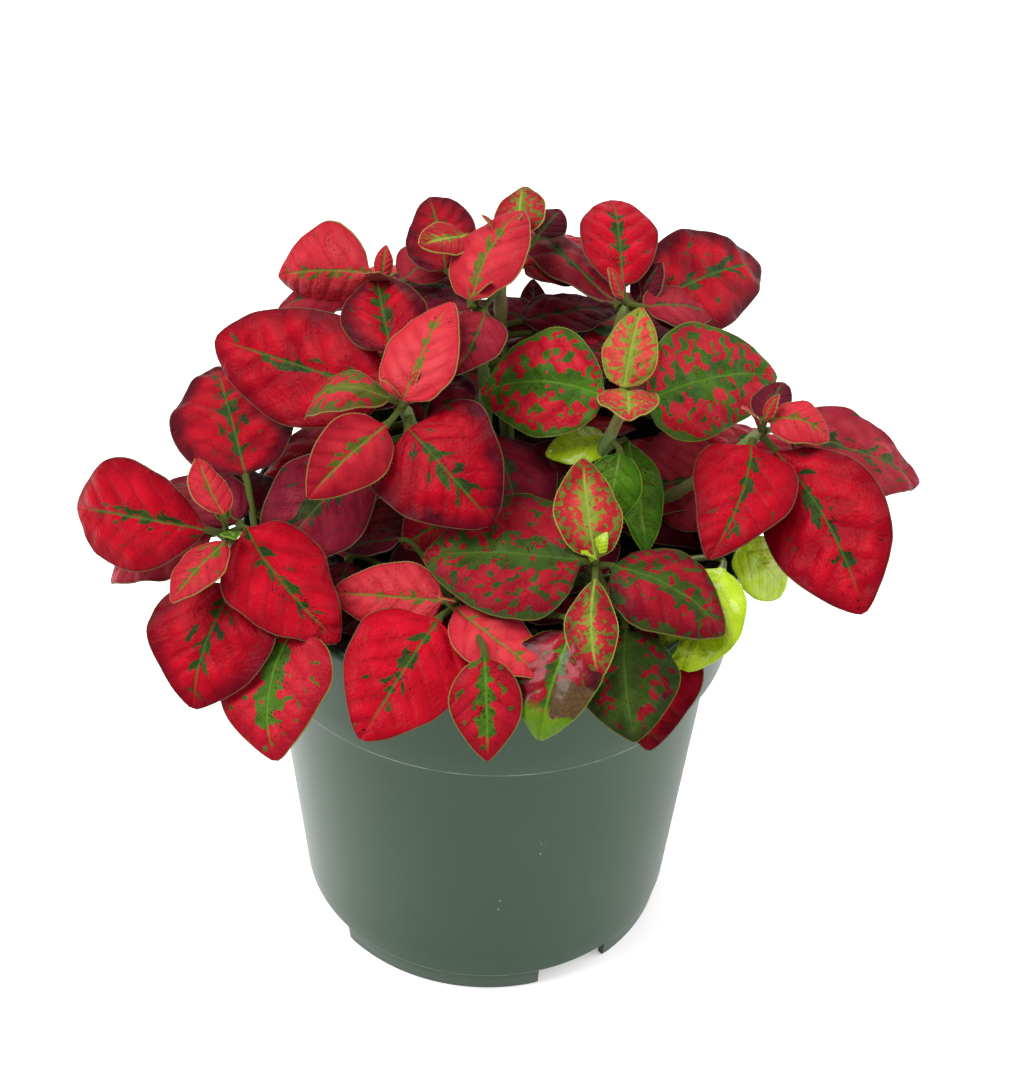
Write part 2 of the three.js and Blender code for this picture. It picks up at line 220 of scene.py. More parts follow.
class Value:
    """A socket of a material, so that shader maths reads as ordinary expressions."""

    def __init__(self, tree, socket):
        self.tree = tree
        self.socket = socket

    def maths(self, operation, *terms, clamp=False):
        node = self.tree.nodes.new("ShaderNodeMath")
        node.operation = operation
        node.use_clamp = clamp
        for entry, term in zip(node.inputs, terms):
            connect(self.tree, entry, term)
        return Value(self.tree, node.outputs[0])

    def __add__(self, other):
        return self.maths("ADD", self, other)

    def __sub__(self, other):
        return self.maths("SUBTRACT", self, other)

    def __rsub__(self, other):
        return self.maths("SUBTRACT", other, self)

    def __mul__(self, other):
        return self.maths("MULTIPLY", self, other)

    def __truediv__(self, other):
        return self.maths("DIVIDE", self, other)

    def __abs__(self):
        return self.maths("ABSOLUTE", self)

    def zigzag(self):
        """The distance to the nearest whole number."""
        return self.maths("PINGPONG", self, 0.5)

    def held(self):
        """The value kept between 0 and 1."""
        return self.maths("ADD", self, 0.0, clamp=True)

    def over(self, limit):
        return self.maths("GREATER_THAN", self, limit)


def connect(tree, entry, value):
    """Feeds a socket with a link, or sets it to a number, a vector or a colour."""
    if isinstance(value, Value):
        tree.links.new(value.socket, entry)
    elif entry.type == "RGBA" and len(value) == 3:
        entry.default_value = (*value, 1.0)
    else:
        entry.default_value = value


class Finish:
    """A material with a principled shader. Uniform settings go straight onto the shader."""

    def __init__(self, name, **settings):
        self.material = bpy.data.materials.new(name)
        self.material.use_nodes = True
        self.tree = self.material.node_tree
        self.shader = self.tree.nodes["Principled BSDF"]
        self.feed(**settings)

    def feed(self, **values):
        for name, value in values.items():
            connect(self.tree, self.shader.inputs[name.replace("_", " ")], value)

    def node(self, kind, settings=None, inputs=None, output=0):
        """Any node: its settings are set first, then its inputs are fed, by name or number."""
        node = self.tree.nodes.new(kind)
        for name, value in (settings or {}).items():
            setattr(node, name, value)
        for name, value in (inputs or {}).items():
            connect(self.tree, node.inputs[name], value)
        return Value(self.tree, node.outputs[output])

    def place(self):
        """The point of the surface, in metres."""
        return self.node("ShaderNodeTexCoord", output="Object")

    def attribute(self, name):
        """A mesh attribute's three numbers."""
        vector = self.node("ShaderNodeAttribute", {"attribute_name": name}, output="Vector")
        return self.split(vector)

    def split(self, vector):
        node = self.tree.nodes.new("ShaderNodeSeparateXYZ")
        connect(self.tree, node.inputs[0], vector)
        return [Value(self.tree, out) for out in node.outputs]

    def join(self, x, y, z):
        return self.node("ShaderNodeCombineXYZ", inputs={"X": x, "Y": y, "Z": z})

    def noise(self, place, scale, detail=2.0, roughness=0.5):
        """Soft cloudy noise, around 0.5."""
        sizes = {"Vector": place, "Scale": scale, "Detail": detail, "Roughness": roughness}
        return self.node("ShaderNodeTexNoise", inputs=sizes)

    def cells(self, place, scale, feature="F1", output="Distance"):
        sizes = {"Vector": place, "Scale": scale}
        return self.node("ShaderNodeTexVoronoi", {"feature": feature}, sizes, output)

    def step(self, value, low, high, start=0.0, end=1.0):
        """Eases from start to end as the value goes from low to high."""
        ends = {"Value": value, "From Min": low, "From Max": high, "To Min": start, "To Max": end}
        return self.node("ShaderNodeMapRange", {"interpolation_type": "SMOOTHSTEP"}, ends)

    def near(self, value, low, high):
        """1 up to low, falling to 0 at high."""
        return self.step(value, low, high, 1.0, 0.0)

    def mix(self, share, first, second):
        """The second colour laid over the first."""
        node = self.tree.nodes.new("ShaderNodeMix")
        node.data_type = "RGBA"
        connect(self.tree, node.inputs[0], share)
        connect(self.tree, node.inputs[6], first)
        connect(self.tree, node.inputs[7], second)
        return Value(self.tree, node.outputs[2])

    def layered(self, colour, *coats):
        """The colour with others laid over it in turn, each given as its share and itself."""
        for share, coat in coats:
            colour = self.mix(share, colour, coat)
        return colour

    def stretch(self, vector, x, y, z):
        """A vector with each of its three numbers multiplied."""
        inputs = {0: vector, 1: (x, y, z)}
        return self.node("ShaderNodeVectorMath", {"operation": "MULTIPLY"}, inputs)

    def bump(self, height, distance, strength=1.0):
        inputs = {"Height": height, "Distance": distance, "Strength": strength}
        return self.node("ShaderNodeBump", inputs=inputs)


# ---------------- meshes


class Skin:
    """Points, faces and marks of one piece, gathered shell by shell before its mesh is made."""

    def __init__(self):
        self.points = []
        self.faces = []
        self.marks = defaultdict(list)
        self.count = 0

    def shell(self, points, faces, **marks):
        """Adds one closed shell. Each mark is a row of three numbers, or one row for every point."""
        points = np.asarray(points, float)
        self.points.append(points)
        self.faces.extend([[corner + self.count for corner in face] for face in faces])
        for name, rows in marks.items():
            self.marks[name].append(np.broadcast_to(np.asarray(rows, float), (len(points), 3)))
        self.count += len(points)

    def piece(self, name, finish, replaces=None, sharp=50):
        """Makes the object, lets it ride on the plant and hides the solid that it stands for."""
        made = new_object(name, np.concatenate(self.points), self.faces)
        mesh = made.data
        for mark, rows in self.marks.items():
            stored = mesh.attributes.new(mark, "FLOAT_VECTOR", "POINT")
            stored.data.foreach_set("vector", np.concatenate(rows).astype(np.float32).ravel())
        mesh.polygons.foreach_set("use_smooth", [True] * len(mesh.polygons))
        mesh.set_sharp_from_angle(angle=math.radians(sharp))
        mesh.materials.append(finish.material)
        mesh.update()
        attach(made, BODY)
        if replaces:
            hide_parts(replaces)
        return made


def new_object(name, points, faces):
    """An object in the scene, with a mesh of these faces between points in millimetres."""
    mesh = bpy.data.meshes.new(name)
    mesh.from_pydata((np.asarray(points) * MM).tolist(), [], faces)
    made = bpy.data.objects.new(name, mesh)
    bpy.context.scene.collection.objects.link(made)
    return made


def lofted_faces(rings, sides):
    """Quads between successive rings of points, with a flat cap on the first and the last ring."""
    faces = [
        [
            ring * sides + side,
            ring * sides + (side + 1) % sides,
            (ring + 1) * sides + (side + 1) % sides,
            (ring + 1) * sides + side,
        ]
        for ring in range(rings - 1)
        for side in range(sides)
    ]
    faces.append(list(range(sides))[::-1])
    faces.append([(rings - 1) * sides + side for side in range(sides)])
    return faces


def unit(vector):
    return vector / np.linalg.norm(vector)


def eased(value):
    """0 to 1 with a soft start and a soft end."""
    share = np.clip(value, 0.0, 1.0)
    return share * share * (3 - 2 * share)


def turned(vectors, start, end):
    """The vectors after the smallest turn that takes the start direction to the end direction."""
    turn = Vector(start).rotation_difference(Vector(end))
    return [np.array(turn @ Vector(vector)) for vector in vectors]


def smooth_path(points, count):
    """Evenly spaced points on a smooth curve through the given ones."""
    points = np.asarray(points, float)
    ends = np.vstack([2 * points[0] - points[1], points, 2 * points[-1] - points[-2]])
    fine = []
    for before, here, after, beyond in zip(ends, ends[1:], ends[2:], ends[3:]):
        for share in np.linspace(0, 1, 12, endpoint=False):
            square, cube = share**2, share**3
            fine.append(0.5 * (
                2 * here + (after - before) * share
                + (2 * before - 5 * here + 4 * after - beyond) * square
                + (3 * here - before - 3 * after + beyond) * cube
            ))
    fine = np.array([*fine, points[-1]])
    walked = np.concatenate([[0], np.cumsum(np.linalg.norm(np.diff(fine, axis=0), axis=1))])
    wanted = np.linspace(0, walked[-1], count)
    return np.stack([np.interp(wanted, walked, fine[:, axis]) for axis in range(3)], 1)


# ---------------- reading the solids


RING = 6  # every leaf and stem solid is skinned through six-sided rings
BLADE_RINGS = 9
TIP_SHARE = 0.995
CROWDING = 0.12
PATH_STEPS = 80
JOINT_RADIUS = 1.2  # from a stem's middle line to where a leaf stalk leaves it
STALK_SHARE = 0.2  # a low leaf's stalk, as a share of its blade


def crowded(share):
    """Even shares of a blade's length, drawn closer together towards its two ends."""
    return share - CROWDING * np.sin(2 * np.pi * share) / np.pi


def blade_sections():
    """Where the rings of a leaf's solid stand along its blade, as shares of its length."""
    return np.append(crowded(np.arange(1, BLADE_RINGS) / (BLADE_RINGS - 0.5)), TIP_SHARE)


def welded(node):
    """A solid's points and its faces, with each point listed once."""
    mesh = frame["nodes"][node].data
    corners = np.array([vertex.co for vertex in mesh.vertices]) / MM
    points, index = np.unique(corners.round(3), axis=0, return_inverse=True)
    index = index.ravel()
    return points, [[int(index[corner]) for corner in face.vertices] for face in mesh.polygons]


def layers(neighbours, start):
    """The points in steps of distance from the starting ones."""
    seen, rings = set(start), [sorted(start)]
    while True:
        following = {other for point in rings[-1] for other in neighbours[point]} - seen
        if not following:
            return rings
        seen |= following
        rings.append(sorted(following))


def skin_rings(node):
    """The rings that a leaf's or a stem's solid was skinned through, from one end to the other."""
    points, faces = welded(node)
    neighbours = defaultdict(set)
    for face in faces:
        for corner in face:
            neighbours[corner].update(face)
    for face in faces:
        a, b, c = points[face[:3]]
        normal = unit(np.cross(b - a, c - a))
        cap = np.flatnonzero(abs((points - a) @ normal) < 0.004)
        if len(cap) != RING:
            continue
        rings = layers(neighbours, cap.tolist())
        if all(len(ring) == RING for ring in rings):
            return [points[ring] for ring in rings]
    raise ValueError(f"{node} has no end cap to read its rings from")


@dataclass
class LeafFigure:
    """One leaf: where it sits, its own three directions, and the numbers of its outline."""

    base: np.ndarray
    along: np.ndarray
    out: np.ndarray
    length: float
    width: float
    arch: float = 0.05
    bow: float = 0.0
    fold: float = 0.06
    belly: float = 0.8
    full: float = 0.74
    stalk: np.ndarray = None  # where the leaf stalk leaves its stem

    @property
    def across(self):
        return np.cross(self.along, self.out)

    def half(self, share):
        inside = np.clip(np.sin(np.pi * np.power(share, self.belly)), 0.0, 1.0)
        return 0.5 * self.width * np.power(inside, self.full)


def off_round(ring):
    """How far a ring is from a true circle."""
    return np.linalg.norm(ring - ring.mean(0), axis=1).std()


def outline_fit(shares, halves):
    """The belly, the fullness and the width of the outline that comes nearest to these halves."""
    def fitted(belly):
        swell = np.log(np.sin(np.pi * shares**belly))
        full, size = np.polyfit(swell, np.log(halves), 1)
        error = np.abs(full * swell + size - np.log(halves)).sum()
        return error, belly, full, 2 * math.exp(size)

    return min(map(fitted, np.arange(0.4, 1.31, 0.01)))[1:]


def read_leaf(node):
    """A leaf's figure, read back from its solid."""
    rings = skin_rings(node)
    if off_round(rings[0]) > off_round(rings[-1]):
        rings.reverse()
    blade = rings[-BLADE_RINGS:]
    widest = max(blade, key=lambda ring: np.ptp(ring, axis=0).sum())
    along = np.linalg.svd(widest - widest.mean(0))[2][2]
    if along @ (blade[-1].mean(0) - blade[0].mean(0)) < 0:
        along = -along
    pairs = [(a, b) for a in widest for b in widest if a is not b and (a - b)[2] > 0]
    top, bottom = min(pairs, key=lambda pair: np.linalg.norm(pair[0] - pair[1]))
    out = unit(top - bottom)
    out = unit(out - along * (out @ along))
    across = np.cross(along, out)
    ordered = [ring[np.argsort(ring @ across)] for ring in blade]
    middles = np.array([ring[2:4].mean(0) for ring in ordered])
    halves = np.array([np.ptp(ring @ across) / 2 for ring in ordered])
    drops = np.array([
        (ring[2:4] @ out).mean() - (ring[[0, 1, 4, 5]] @ out).mean() for ring in ordered
    ])
    shares = blade_sections()
    length, foot = np.polyfit(shares, middles @ along, 1)
    bends = 4 * shares * (1 - shares) * length
    arch, lift = np.polyfit(bends, middles @ out, 1)
    bow, shift = np.polyfit(bends, middles @ across, 1)
    fold = (drops @ halves) / (halves @ halves)
    belly, full, width = outline_fit(shares, halves)
    return LeafFigure(
        base=foot * along + lift * out + shift * across, along=along, out=out, length=length,
        width=width, arch=arch, bow=bow, fold=fold, belly=belly, full=full,
        stalk=rings[0].mean(0),
    )


def moved(figure, shift, **shape):
    """The figure a little aside from where it was read, and with other numbers for its outline."""
    return replace(figure, base=figure.base + np.array(shift), **shape)


def read_stem(node):
    """The middle line of a stem's solid, from its root to its tip."""
    line = np.array([ring.mean(0) for ring in skin_rings(node)])
    return line if line[0][2] < line[-1][2] else line[::-1]


STEMS = {node: read_stem(node) for node in SLOT_OF if node.endswith("_stem")}


def pointed(heading, slope):
    """A direction: 0 points to the front and 90 to the right, and the slope is above the level."""
    turn, rise = math.radians(heading), math.radians(slope)
    return np.array([
        math.sin(turn) * math.cos(rise), -math.cos(turn) * math.cos(rise), math.sin(rise),
    ])


def stem_path(shoot):
    """Evenly spaced points along the middle line of a shoot's stem."""
    return smooth_path(STEMS[f"{shoot}_stem"], PATH_STEPS)


def directed_leaf(base, heading, slope, length, width, stem, roll=0.0, **shape):
    """A leaf's figure from its place by the pot's middle line and the angles that it points at."""
    along, tip = pointed(heading, slope), math.radians(roll)
    level = unit(np.cross(along, UP))
    out = np.cross(level, along) * math.cos(tip) + level * math.sin(tip)
    root = AXIS + np.array(base, float)
    line = stem_path(stem)
    joint = line[np.argmin(np.linalg.norm(line - root, axis=1))]
    return LeafFigure(
        base=root, along=along, out=out, length=length, width=width,
        stalk=joint + unit(root - joint) * JOINT_RADIUS, **shape,
    )


def grown_leaf(stem, share, heading, slope, length, width):
    """A leaf's figure from a share of its stem and the angles that it points at."""
    joint = stem_path(stem)[round(share * (PATH_STEPS - 1))]
    base = joint + pointed(heading, slope + 12) * (1.0 + STALK_SHARE * length)
    return directed_leaf(base - AXIS, heading, slope, length, width, stem, arch=0.09, fold=0.08)


# ---------------- leaves


@dataclass
class Mood:
    """How one leaf is coloured: green by its veins, specks, and wine-dark or, below 0, pale."""

    green: float
    specks: float
    wine: float
    finish: str = None  # the paint that it has instead of its kind's


KIND_MOODS = {
    "red": Mood(0.14, 0.3, 0.6),
    "mottled": Mood(0.52, 0.2, 0.15),
    "young": Mood(0.15, 0.25, 0.0),
    "dull": Mood(0.14, 0.2, 0.6),
    "lime": Mood(0.1, 0.3, 0.0),
    "green": Mood(0.3, 0.8, 0.2),
}

# Leaves that look unlike the others of their kind, by shoot and number.
LEAF_MOODS = {
    "left_leaf": {
        1: Mood(0.08, 0.3, 0.35), 2: Mood(0.1, 0.2, 0.1), 3: Mood(0.25, 0.2, 0.3),
        4: Mood(0.1, 0.35, 0.2), 5: Mood(0.16, 0.25, 0.6), 6: Mood(0.37, 0.6, 0.3),
        7: Mood(0.18, 0.25, 0.9),
    },
    "left_small": {1: Mood(0.0, 0.2, -0.4, "dusty_sheen"), 3: Mood(0.2, 0.2, 1.6)},
    "centre_left_leaf": {
        # Number 3 takes the young leaves' paler paint as a painted highlight.
        1: Mood(0.0, 0.2, 0.0), 2: Mood(0.5, 0.2, 0.5), 3: Mood(0.04, 0.2, 0.7, "young"),
        4: Mood(0.2, 0.2, 0.8), 5: Mood(0.12, 0.25, 0.5), 6: Mood(0.3, 0.3, 0.2),
        7: Mood(0.24, 0.4, 0.9),
    },
    "back_left_leaf": {1: Mood(0.06, 0.4, 0.3, "young")},
    "back_left_small": {1: Mood(0.0, 0.2, 0.6, "dusty_sheen")},
    "back_centre_leaf": {1: Mood(0.16, 0.3, 0.4, "young"), 2: Mood(0.02, 0.2, 0.3, "dusty_sheen")},
    "rear_leaf": {
        1: Mood(0.0, 0.3, 0.75, "red"), 2: Mood(0.46, 0.2, 0.8, "tender"),
        3: Mood(0.25, 0.3, 0.5), 4: Mood(0.85, 0.3, 0.2),
    },
    "rear_small": {1: Mood(0.34, 0.2, 0.8, "tender"), 2: Mood(0.0, 0.2, 0.2, "dusty_sheen")},
    "back_right_leaf": {
        1: Mood(0.1, 0.2, 0.5, "dusty_sheen"), 2: Mood(0.14, 0.5, 0.2), 3: Mood(0.2, 0.25, 0.8),
    },
    "back_right_small": {3: Mood(0.0, 0.2, 0.2, "dusty_sheen")},
    "centre_right_leaf": {3: Mood(0.48, 0.3, 0.0, "tender")},
    "centre_right_small": {1: Mood(0.45, 0.3, 0.5, "tender")},
    "centre_right_low": {2: Mood(0.14, 0.2, 0.6, "dusty_sheen")},
    "right_leaf": {
        2: Mood(0.27, 0.3, 0.3, "dusty_sheen"), 3: Mood(0.16, 0.3, 0.3), 4: Mood(0.12, 0.35, 0.4),
        # Number 5 is painted paler to make up for the shade that its neighbour casts: painted light.
        5: Mood(0.1, 0.2, -0.4, "dusty_sheen"),
    },
    "front_right_leaf": {
        1: Mood(0.46, 0.3, 0.7, "tender"), 2: Mood(0.45, 0.3, 0.9, "tender"),
        3: Mood(0.5, 0.35, 0.4, "shaded"), 4: Mood(0.46, 0.3, 0.6, "shaded"),
        5: Mood(0.68, 0.4, 0.8, "shaded"),
    },
    "front_left_leaf": {
        1: Mood(0.04, 0.3, 0.0), 2: Mood(0.06, 0.2, -0.1), 3: Mood(0.14, 0.3, 0.1),
        4: Mood(0.38, 0.6, 0.3, "mottled"), 5: Mood(0.34, 0.3, 1.0, "dried"),
    },
}

# Leaves whose surface is moved a little, or whose outline is fuller, than its solid's.
LEAF_CHANGES = {
    "front_right_leaf_6": ((-2.4, 0.0, -2.5), {"width": 17.0, "full": 0.55}),
    "right_leaf_6": ((0.0, 1.0, 1.0), {"width": 14.0, "full": 0.55}),
    "front_left_leaf_4": ((-0.2, 2.6, 3.0), {"length": 19.5, "width": 13.5}),
    "front_left_leaf_5": ((1.3, 3.6, 3.2), {"length": 21.5, "width": 17.0}),
    "right_leaf_5": ((0.0, -4.0, 4.4), {}),
    "left_leaf_6": ((0.4, 3.2, 2.4), {"length": 25.0, "width": 23.0}),
    "back_left_leaf_1": ((0.0, 1.6, 1.5), {"width": 18.5}),
}

# Leaves too small or too hidden to have a solid of their own, by the shoot that they belong to:
# the blade's kind and start, where it points, its slope, length and width, and its shape.
SMALL_LEAVES = {
    "left": [
        ("dull", (-54, -19, 108), -98, -35, 27, 17,
         {"roll": -23, "arch": 0.11, "bow": 0.05, "belly": 0.65}),
        ("dull", (-49, -17, 109), -128, 4, 19, 17, {}),
        ("dull", (-47, -3, 100), -149, 4, 16, 14, {}),
    ],
    "back_left": [
        ("dull", (-29, 34, 130), -103, -24, 20, 15, {"roll": -14, "arch": 0.07}),
    ],
    "back_centre": [
        ("dull", (7, 37, 142), 154, 4, 11, 8, {"roll": 18}),
        ("dull", (-2, 24, 131), -100, -6, 20, 15, {}),
        ("dull", (7, 44, 117), 185, 56, 9, 6, {}),
        ("dull", (10, 32, 124), -100, 8, 17, 13, {}),
    ],
    "rear": [
        ("young", (-7, 30, 146), -51, 10, 12, 9, {"roll": -18, "full": 0.6}),
        ("dull", (-20, 33, 133), 135, 15, 16, 14, {"stem": "back_left"}),
        ("dull", (4, 30, 126), 110, -2, 22, 15, {}),
        ("dull", (-3, 34, 130), -105, -6, 24, 16, {}),
        ("red", (4, 36, 136), 80, -4, 16, 12, {}),
    ],
    "back_right": [
        ("dull", (27, 24, 135), 141, 39, 10, 7, {}),
        ("young", (24, 21, 138), -127, 56, 7, 4, {}),
        ("dull", (28, 20, 137), 121, -22, 19, 11, {"roll": 22, "arch": 0.08}),
        ("green", (21, 45, 116), -93, -7, 15, 11, {"arch": 0.16}),
        ("dull", (24, 47, 112), -98, 31, 16, 11, {}),
        ("dull", (26, 31, 120), 170, -6, 26, 20, {}),
    ],
    "centre_right": [
        ("young", (25, 2, 130), -2, 15, 17, 12, {}),
        ("dull", (16, 4, 112), -82, -16, 15, 10, {"roll": -20}),
        ("green", (21, 13, 109), -24, -21, 15, 10, {}),
        ("lime", (22, 1, 118), -86, -14, 13, 9, {"roll": -20}),
        ("green", (24, -4, 119), -14, -52, 15, 11, {}),
        ("green", (21, -1, 112), -88, -24, 14, 11, {}),
        ("dull", (25, 12, 119), 165, -12, 20, 14, {}),
    ],
    "right": [
        ("dull", (52, 5, 121), 156, 6, 13, 8, {}),
    ],
    "front_right": [
        ("red", (32, -31, 98), -6, -49, 24, 19, {"roll": 12, "arch": 0.05, "belly": 0.64}),
    ],
    "front_left": [
        ("red", (-9, -10, 106), -46, -2, 12, 11, {"roll": -26}),
        ("dull", (-18, -17, 106), -97, -20, 12, 8, {}),
        ("dull", (-28, -19, 102), -16, -29, 17, 12, {}),
    ],
}

# Leaves that fill the plant out below and behind the ones above: the kind, the share of the stem
# where it grows, where it points, its slope, length and width.
LOW_LEAVES = {
    "left": [
        ("red", 0.55, 170, -8, 26, 18),
        ("red", 0.72, -140, -30, 28, 20),
        ("dull", 0.38, 55, -10, 24, 17),
    ],
    "centre_left": [
        ("dull", 0.62, 80, -14, 27, 20),
        ("dull", 0.62, -100, -16, 28, 20),
        ("dull", 0.8, 175, -8, 26, 18),
        ("dull", 0.5, -5, -20, 26, 19),
    ],
    "back_left": [
        ("dull", 0.8, 100, -12, 26, 18),
        ("red", 0.6, -70, -22, 32, 22),
        ("young", 0.9, -175, -12, 24, 16),
    ],
    "back_centre": [
        ("dull", 0.8, 105, -12, 28, 19),
        ("dull", 0.8, -75, -14, 28, 19),
        ("dull", 0.62, 15, -16, 28, 20),
        ("red", 0.62, -165, -20, 28, 20),
    ],
    "rear": [
        ("mottled", 0.75, 105, -16, 30, 20),
        ("red", 0.75, -100, -18, 30, 20),
        ("red", 0.9, 150, -12, 26, 18),
    ],
    "back_right": [
        ("dull", 0.4, 70, -16, 28, 20),
        ("red", 0.8, -130, -16, 26, 18),
        ("red", 0.5, 170, -30, 30, 22),
    ],
    "centre_right": [
        ("dull", 0.55, -60, -16, 26, 19),
        ("dull", 0.55, 120, -16, 28, 20),
    ],
    "right": [
        ("red", 0.55, 170, -10, 26, 18),
        ("red", 0.78, 150, -22, 30, 20),
        ("dull", 0.4, -10, -25, 22, 16),
        ("dull", 0.5, -50, -18, 24, 18),
    ],
    "front_right": [
        ("dull", 0.5, 95, -12, 24, 17),
        ("dull", 0.5, -80, -10, 24, 17),
    ],
    "front_left": [
        ("dull", 0.5, -80, -8, 24, 17),
        ("dull", 0.5, 95, -6, 24, 17),
        ("dull", 0.7, 35, -30, 20, 16),
        ("dull", 0.7, -40, -34, 20, 16),
    ],
}

# Buds at the tips of the stems: their kind, and where each points, its slope, length and width.
BUDS = {
    "left": ("green", [(20, 30, 7, 4), (200, 50, 6, 3)]),
    "centre_left": ("young", [(-60, 55, 7, 4), (110, 62, 6, 3)]),
    "back_left": ("young", [(-10, 50, 8, 5), (170, 58, 7, 4)]),
    "back_centre": ("young", [(60, 60, 6, 3)]),
    "rear": ("young", [(-90, 55, 6, 3), (95, 60, 6, 3)]),
    "right": ("young", [(-60, 50, 7, 4), (130, 60, 6, 3)]),
    "front_right": ("lime", [(-40, 50, 5, 3), (140, 60, 5, 3)]),
    "front_left": ("young", [(-30, 45, 6, 3), (150, 60, 5, 3)]),
}

FULL_LENGTH = 35  # a full-sized leaf's
FULL_WIDTH = 22
CORE_REACH = 1.2  # how far a stalk starts inside its stem
HAIR_GAP = 0.2  # the least distance between two hairs on a margin
ON_STALK = [0.0, 3.0, 0.25]  # a stalk's place on the leaf, as its finish reads it
FLAT = [0.0, 1.0, 0.0]  # the relief of what has no quilting


@dataclass
class Blade:
    """A blade's surface, in rows from its foot to its tip and columns from side to side."""

    scale: float  # its size against a full-sized leaf's
    share: np.ndarray  # of the blade's length, for each row
    distance: np.ndarray  # the same in millimetres
    across: np.ndarray  # how far each point is from the midrib, to the right or, below 0, left
    margin: np.ndarray  # how far it is from the edge
    veins: np.ndarray  # how many side veins lie before it
    top: np.ndarray  # its upper face, over the leaf's own plane
    bottom: np.ndarray
    bulge: np.ndarray  # how far it stands out between the veins; the finish paints highlight and shade from it


def side_veins(figure, spacing, distance, across):
    """Counts the side veins along the blade: a whole number is a vein, which sweeps to the tip."""
    return (distance - 0.7 * across - 0.022 * across**2) / (spacing * figure.length)


def small_bumps(across, distance, scale, offset):
    """Irregular small swellings, given row by row."""
    return np.array([
        [
            0.62 * noise.noise(Vector((side * 0.2, walked * 0.2, offset))) * min(scale, 1.0)
            + 0.34 * noise.noise(Vector((side * 0.42, walked * 0.42, offset)))
            for side in line
        ]
        for walked, line in zip(distance[:, 0], across)
    ])


def leaf_blade(figure, sizes, pucker, rng):
    """The two faces of a blade, quilted between the side veins, with ribs below and a frilled,
    slightly uneven margin."""
    scale = figure.length / FULL_LENGTH
    columns = 25 if figure.length > 16 else 17
    rows = max(16, int(figure.length * 1.3))
    spread = np.sin(np.linspace(-0.5, 0.5, columns) * np.pi * 0.86) / math.sin(0.43 * np.pi)
    u = spread[None, :]
    share = crowded(np.arange(1, rows + 1) / (rows + 0.4))[:, None]
    half = figure.half(share)
    wobble = 1 + 0.025 * np.sin(share * rng.uniform(9, 15) + rng.uniform(0, 6) + (u > 0) * 1.7)
    x = u * half * wobble
    rib = abs(x)
    distance = share * figure.length
    veins = side_veins(figure, sizes.vein_spacing, distance, rib)
    between = np.sin(np.pi * veins) ** 2
    open_blade = eased(rib / (2.2 * max(scale, 0.4))) * (1 - abs(u) ** 5)
    ends = eased(share / 0.12) * eased((1 - share) / 0.12)

    # The lie of the blade: folded along its rib, quilted, bumpy, grooved, wavy and frilled.
    quilting = sizes.quilting / MM * np.clip(scale, 0.4, 1.1) * pucker
    lift = -figure.fold * half * abs(u) ** 1.7
    lift = lift + quilting * between * open_blade * ends * rng.uniform(0.5, 1.1)
    bumps = pucker * ends * small_bumps(x, distance, scale, rng.uniform(0, 90))
    lift = lift + bumps
    lift = lift - 0.35 * scale * np.exp(-((rib / (0.9 * scale + 0.15)) ** 2)) * ends
    for _ in range(3):
        wave, swell = rng.uniform(0.1, 0.35, 2) / max(scale, 0.5)
        waves = np.sin(distance * wave * 2 + x * swell * 2 + rng.uniform(0, 6))
        lift = lift + 0.1 * scale * waves * open_blade
    frill = rng.uniform(0, 6, 2)
    ripple = np.sin(distance * 0.55 / max(scale, 0.4) + np.where(u > 0, frill[0], frill[1]))
    lift = lift + 0.32 * scale * abs(u) ** 4 * ripple * ends
    lift = lift - 0.03 * figure.length * eased((share - 0.82) / 0.3)

    # Its thickness: thinner at the margin and the tip, with the ribs standing out below.
    body = sizes.leaf_thickness / MM * (1 - 0.45 * abs(u) ** 6) * (0.55 + 0.45 * eased(half / 1.5))
    ridge = 0.5 * scale * np.exp(-((rib / (0.45 * scale + 0.2)) ** 2)) * (1 - 0.85 * share)
    ridge = ridge + 0.1 * scale * (1 - between) ** 6 * (1 - abs(u))
    return Blade(
        scale=scale, share=share, distance=distance, across=x, margin=(1 - abs(u)) * half + 0.02,
        veins=veins, top=lift + body / 2, bottom=lift - body / 2 - ridge,
        bulge=bumps / 0.3 + (between * open_blade - 0.5) * 0.8,
    )


def stalk_rings(figure, tube, rounds):
    """Rings around the stalk: a smooth curve from inside the stem to the start of the blade."""
    reach = figure.base - figure.stalk
    reach = unit(reach) if np.linalg.norm(reach) > 0.2 else figure.along
    start = figure.stalk - reach * CORE_REACH
    gap = np.linalg.norm(figure.base - start)
    leaving = start + reach * gap * 0.4
    arriving = figure.base - figure.along * gap * 0.2
    steps = max(4, int(gap / 1.6))
    rings = []
    for step in np.arange(steps) / steps:
        rest = 1 - step
        centre = (
            rest**3 * start + 3 * rest**2 * step * leaving
            + 3 * rest * step**2 * arriving + step**3 * figure.base
        )
        slope = (
            rest**2 * (leaving - start) + 2 * rest * step * (arriving - leaving)
            + step**2 * (figure.base - arriving)
        )
        across, out = turned([figure.across, figure.out], figure.along, unit(slope))
        radius = tube * (1 + 0.35 * (1 - eased(step * gap / 1.5)))
        circle = np.cos(rounds)[:, None] * across + np.sin(rounds)[:, None] * out
        rings.append(centre + radius * circle)
    return rings


def there_and_back(above, below=None):
    """Rows that run along the upper face and back along the lower one."""
    below = above if below is None else below
    return np.concatenate([above, below[:, ::-1]], axis=1)


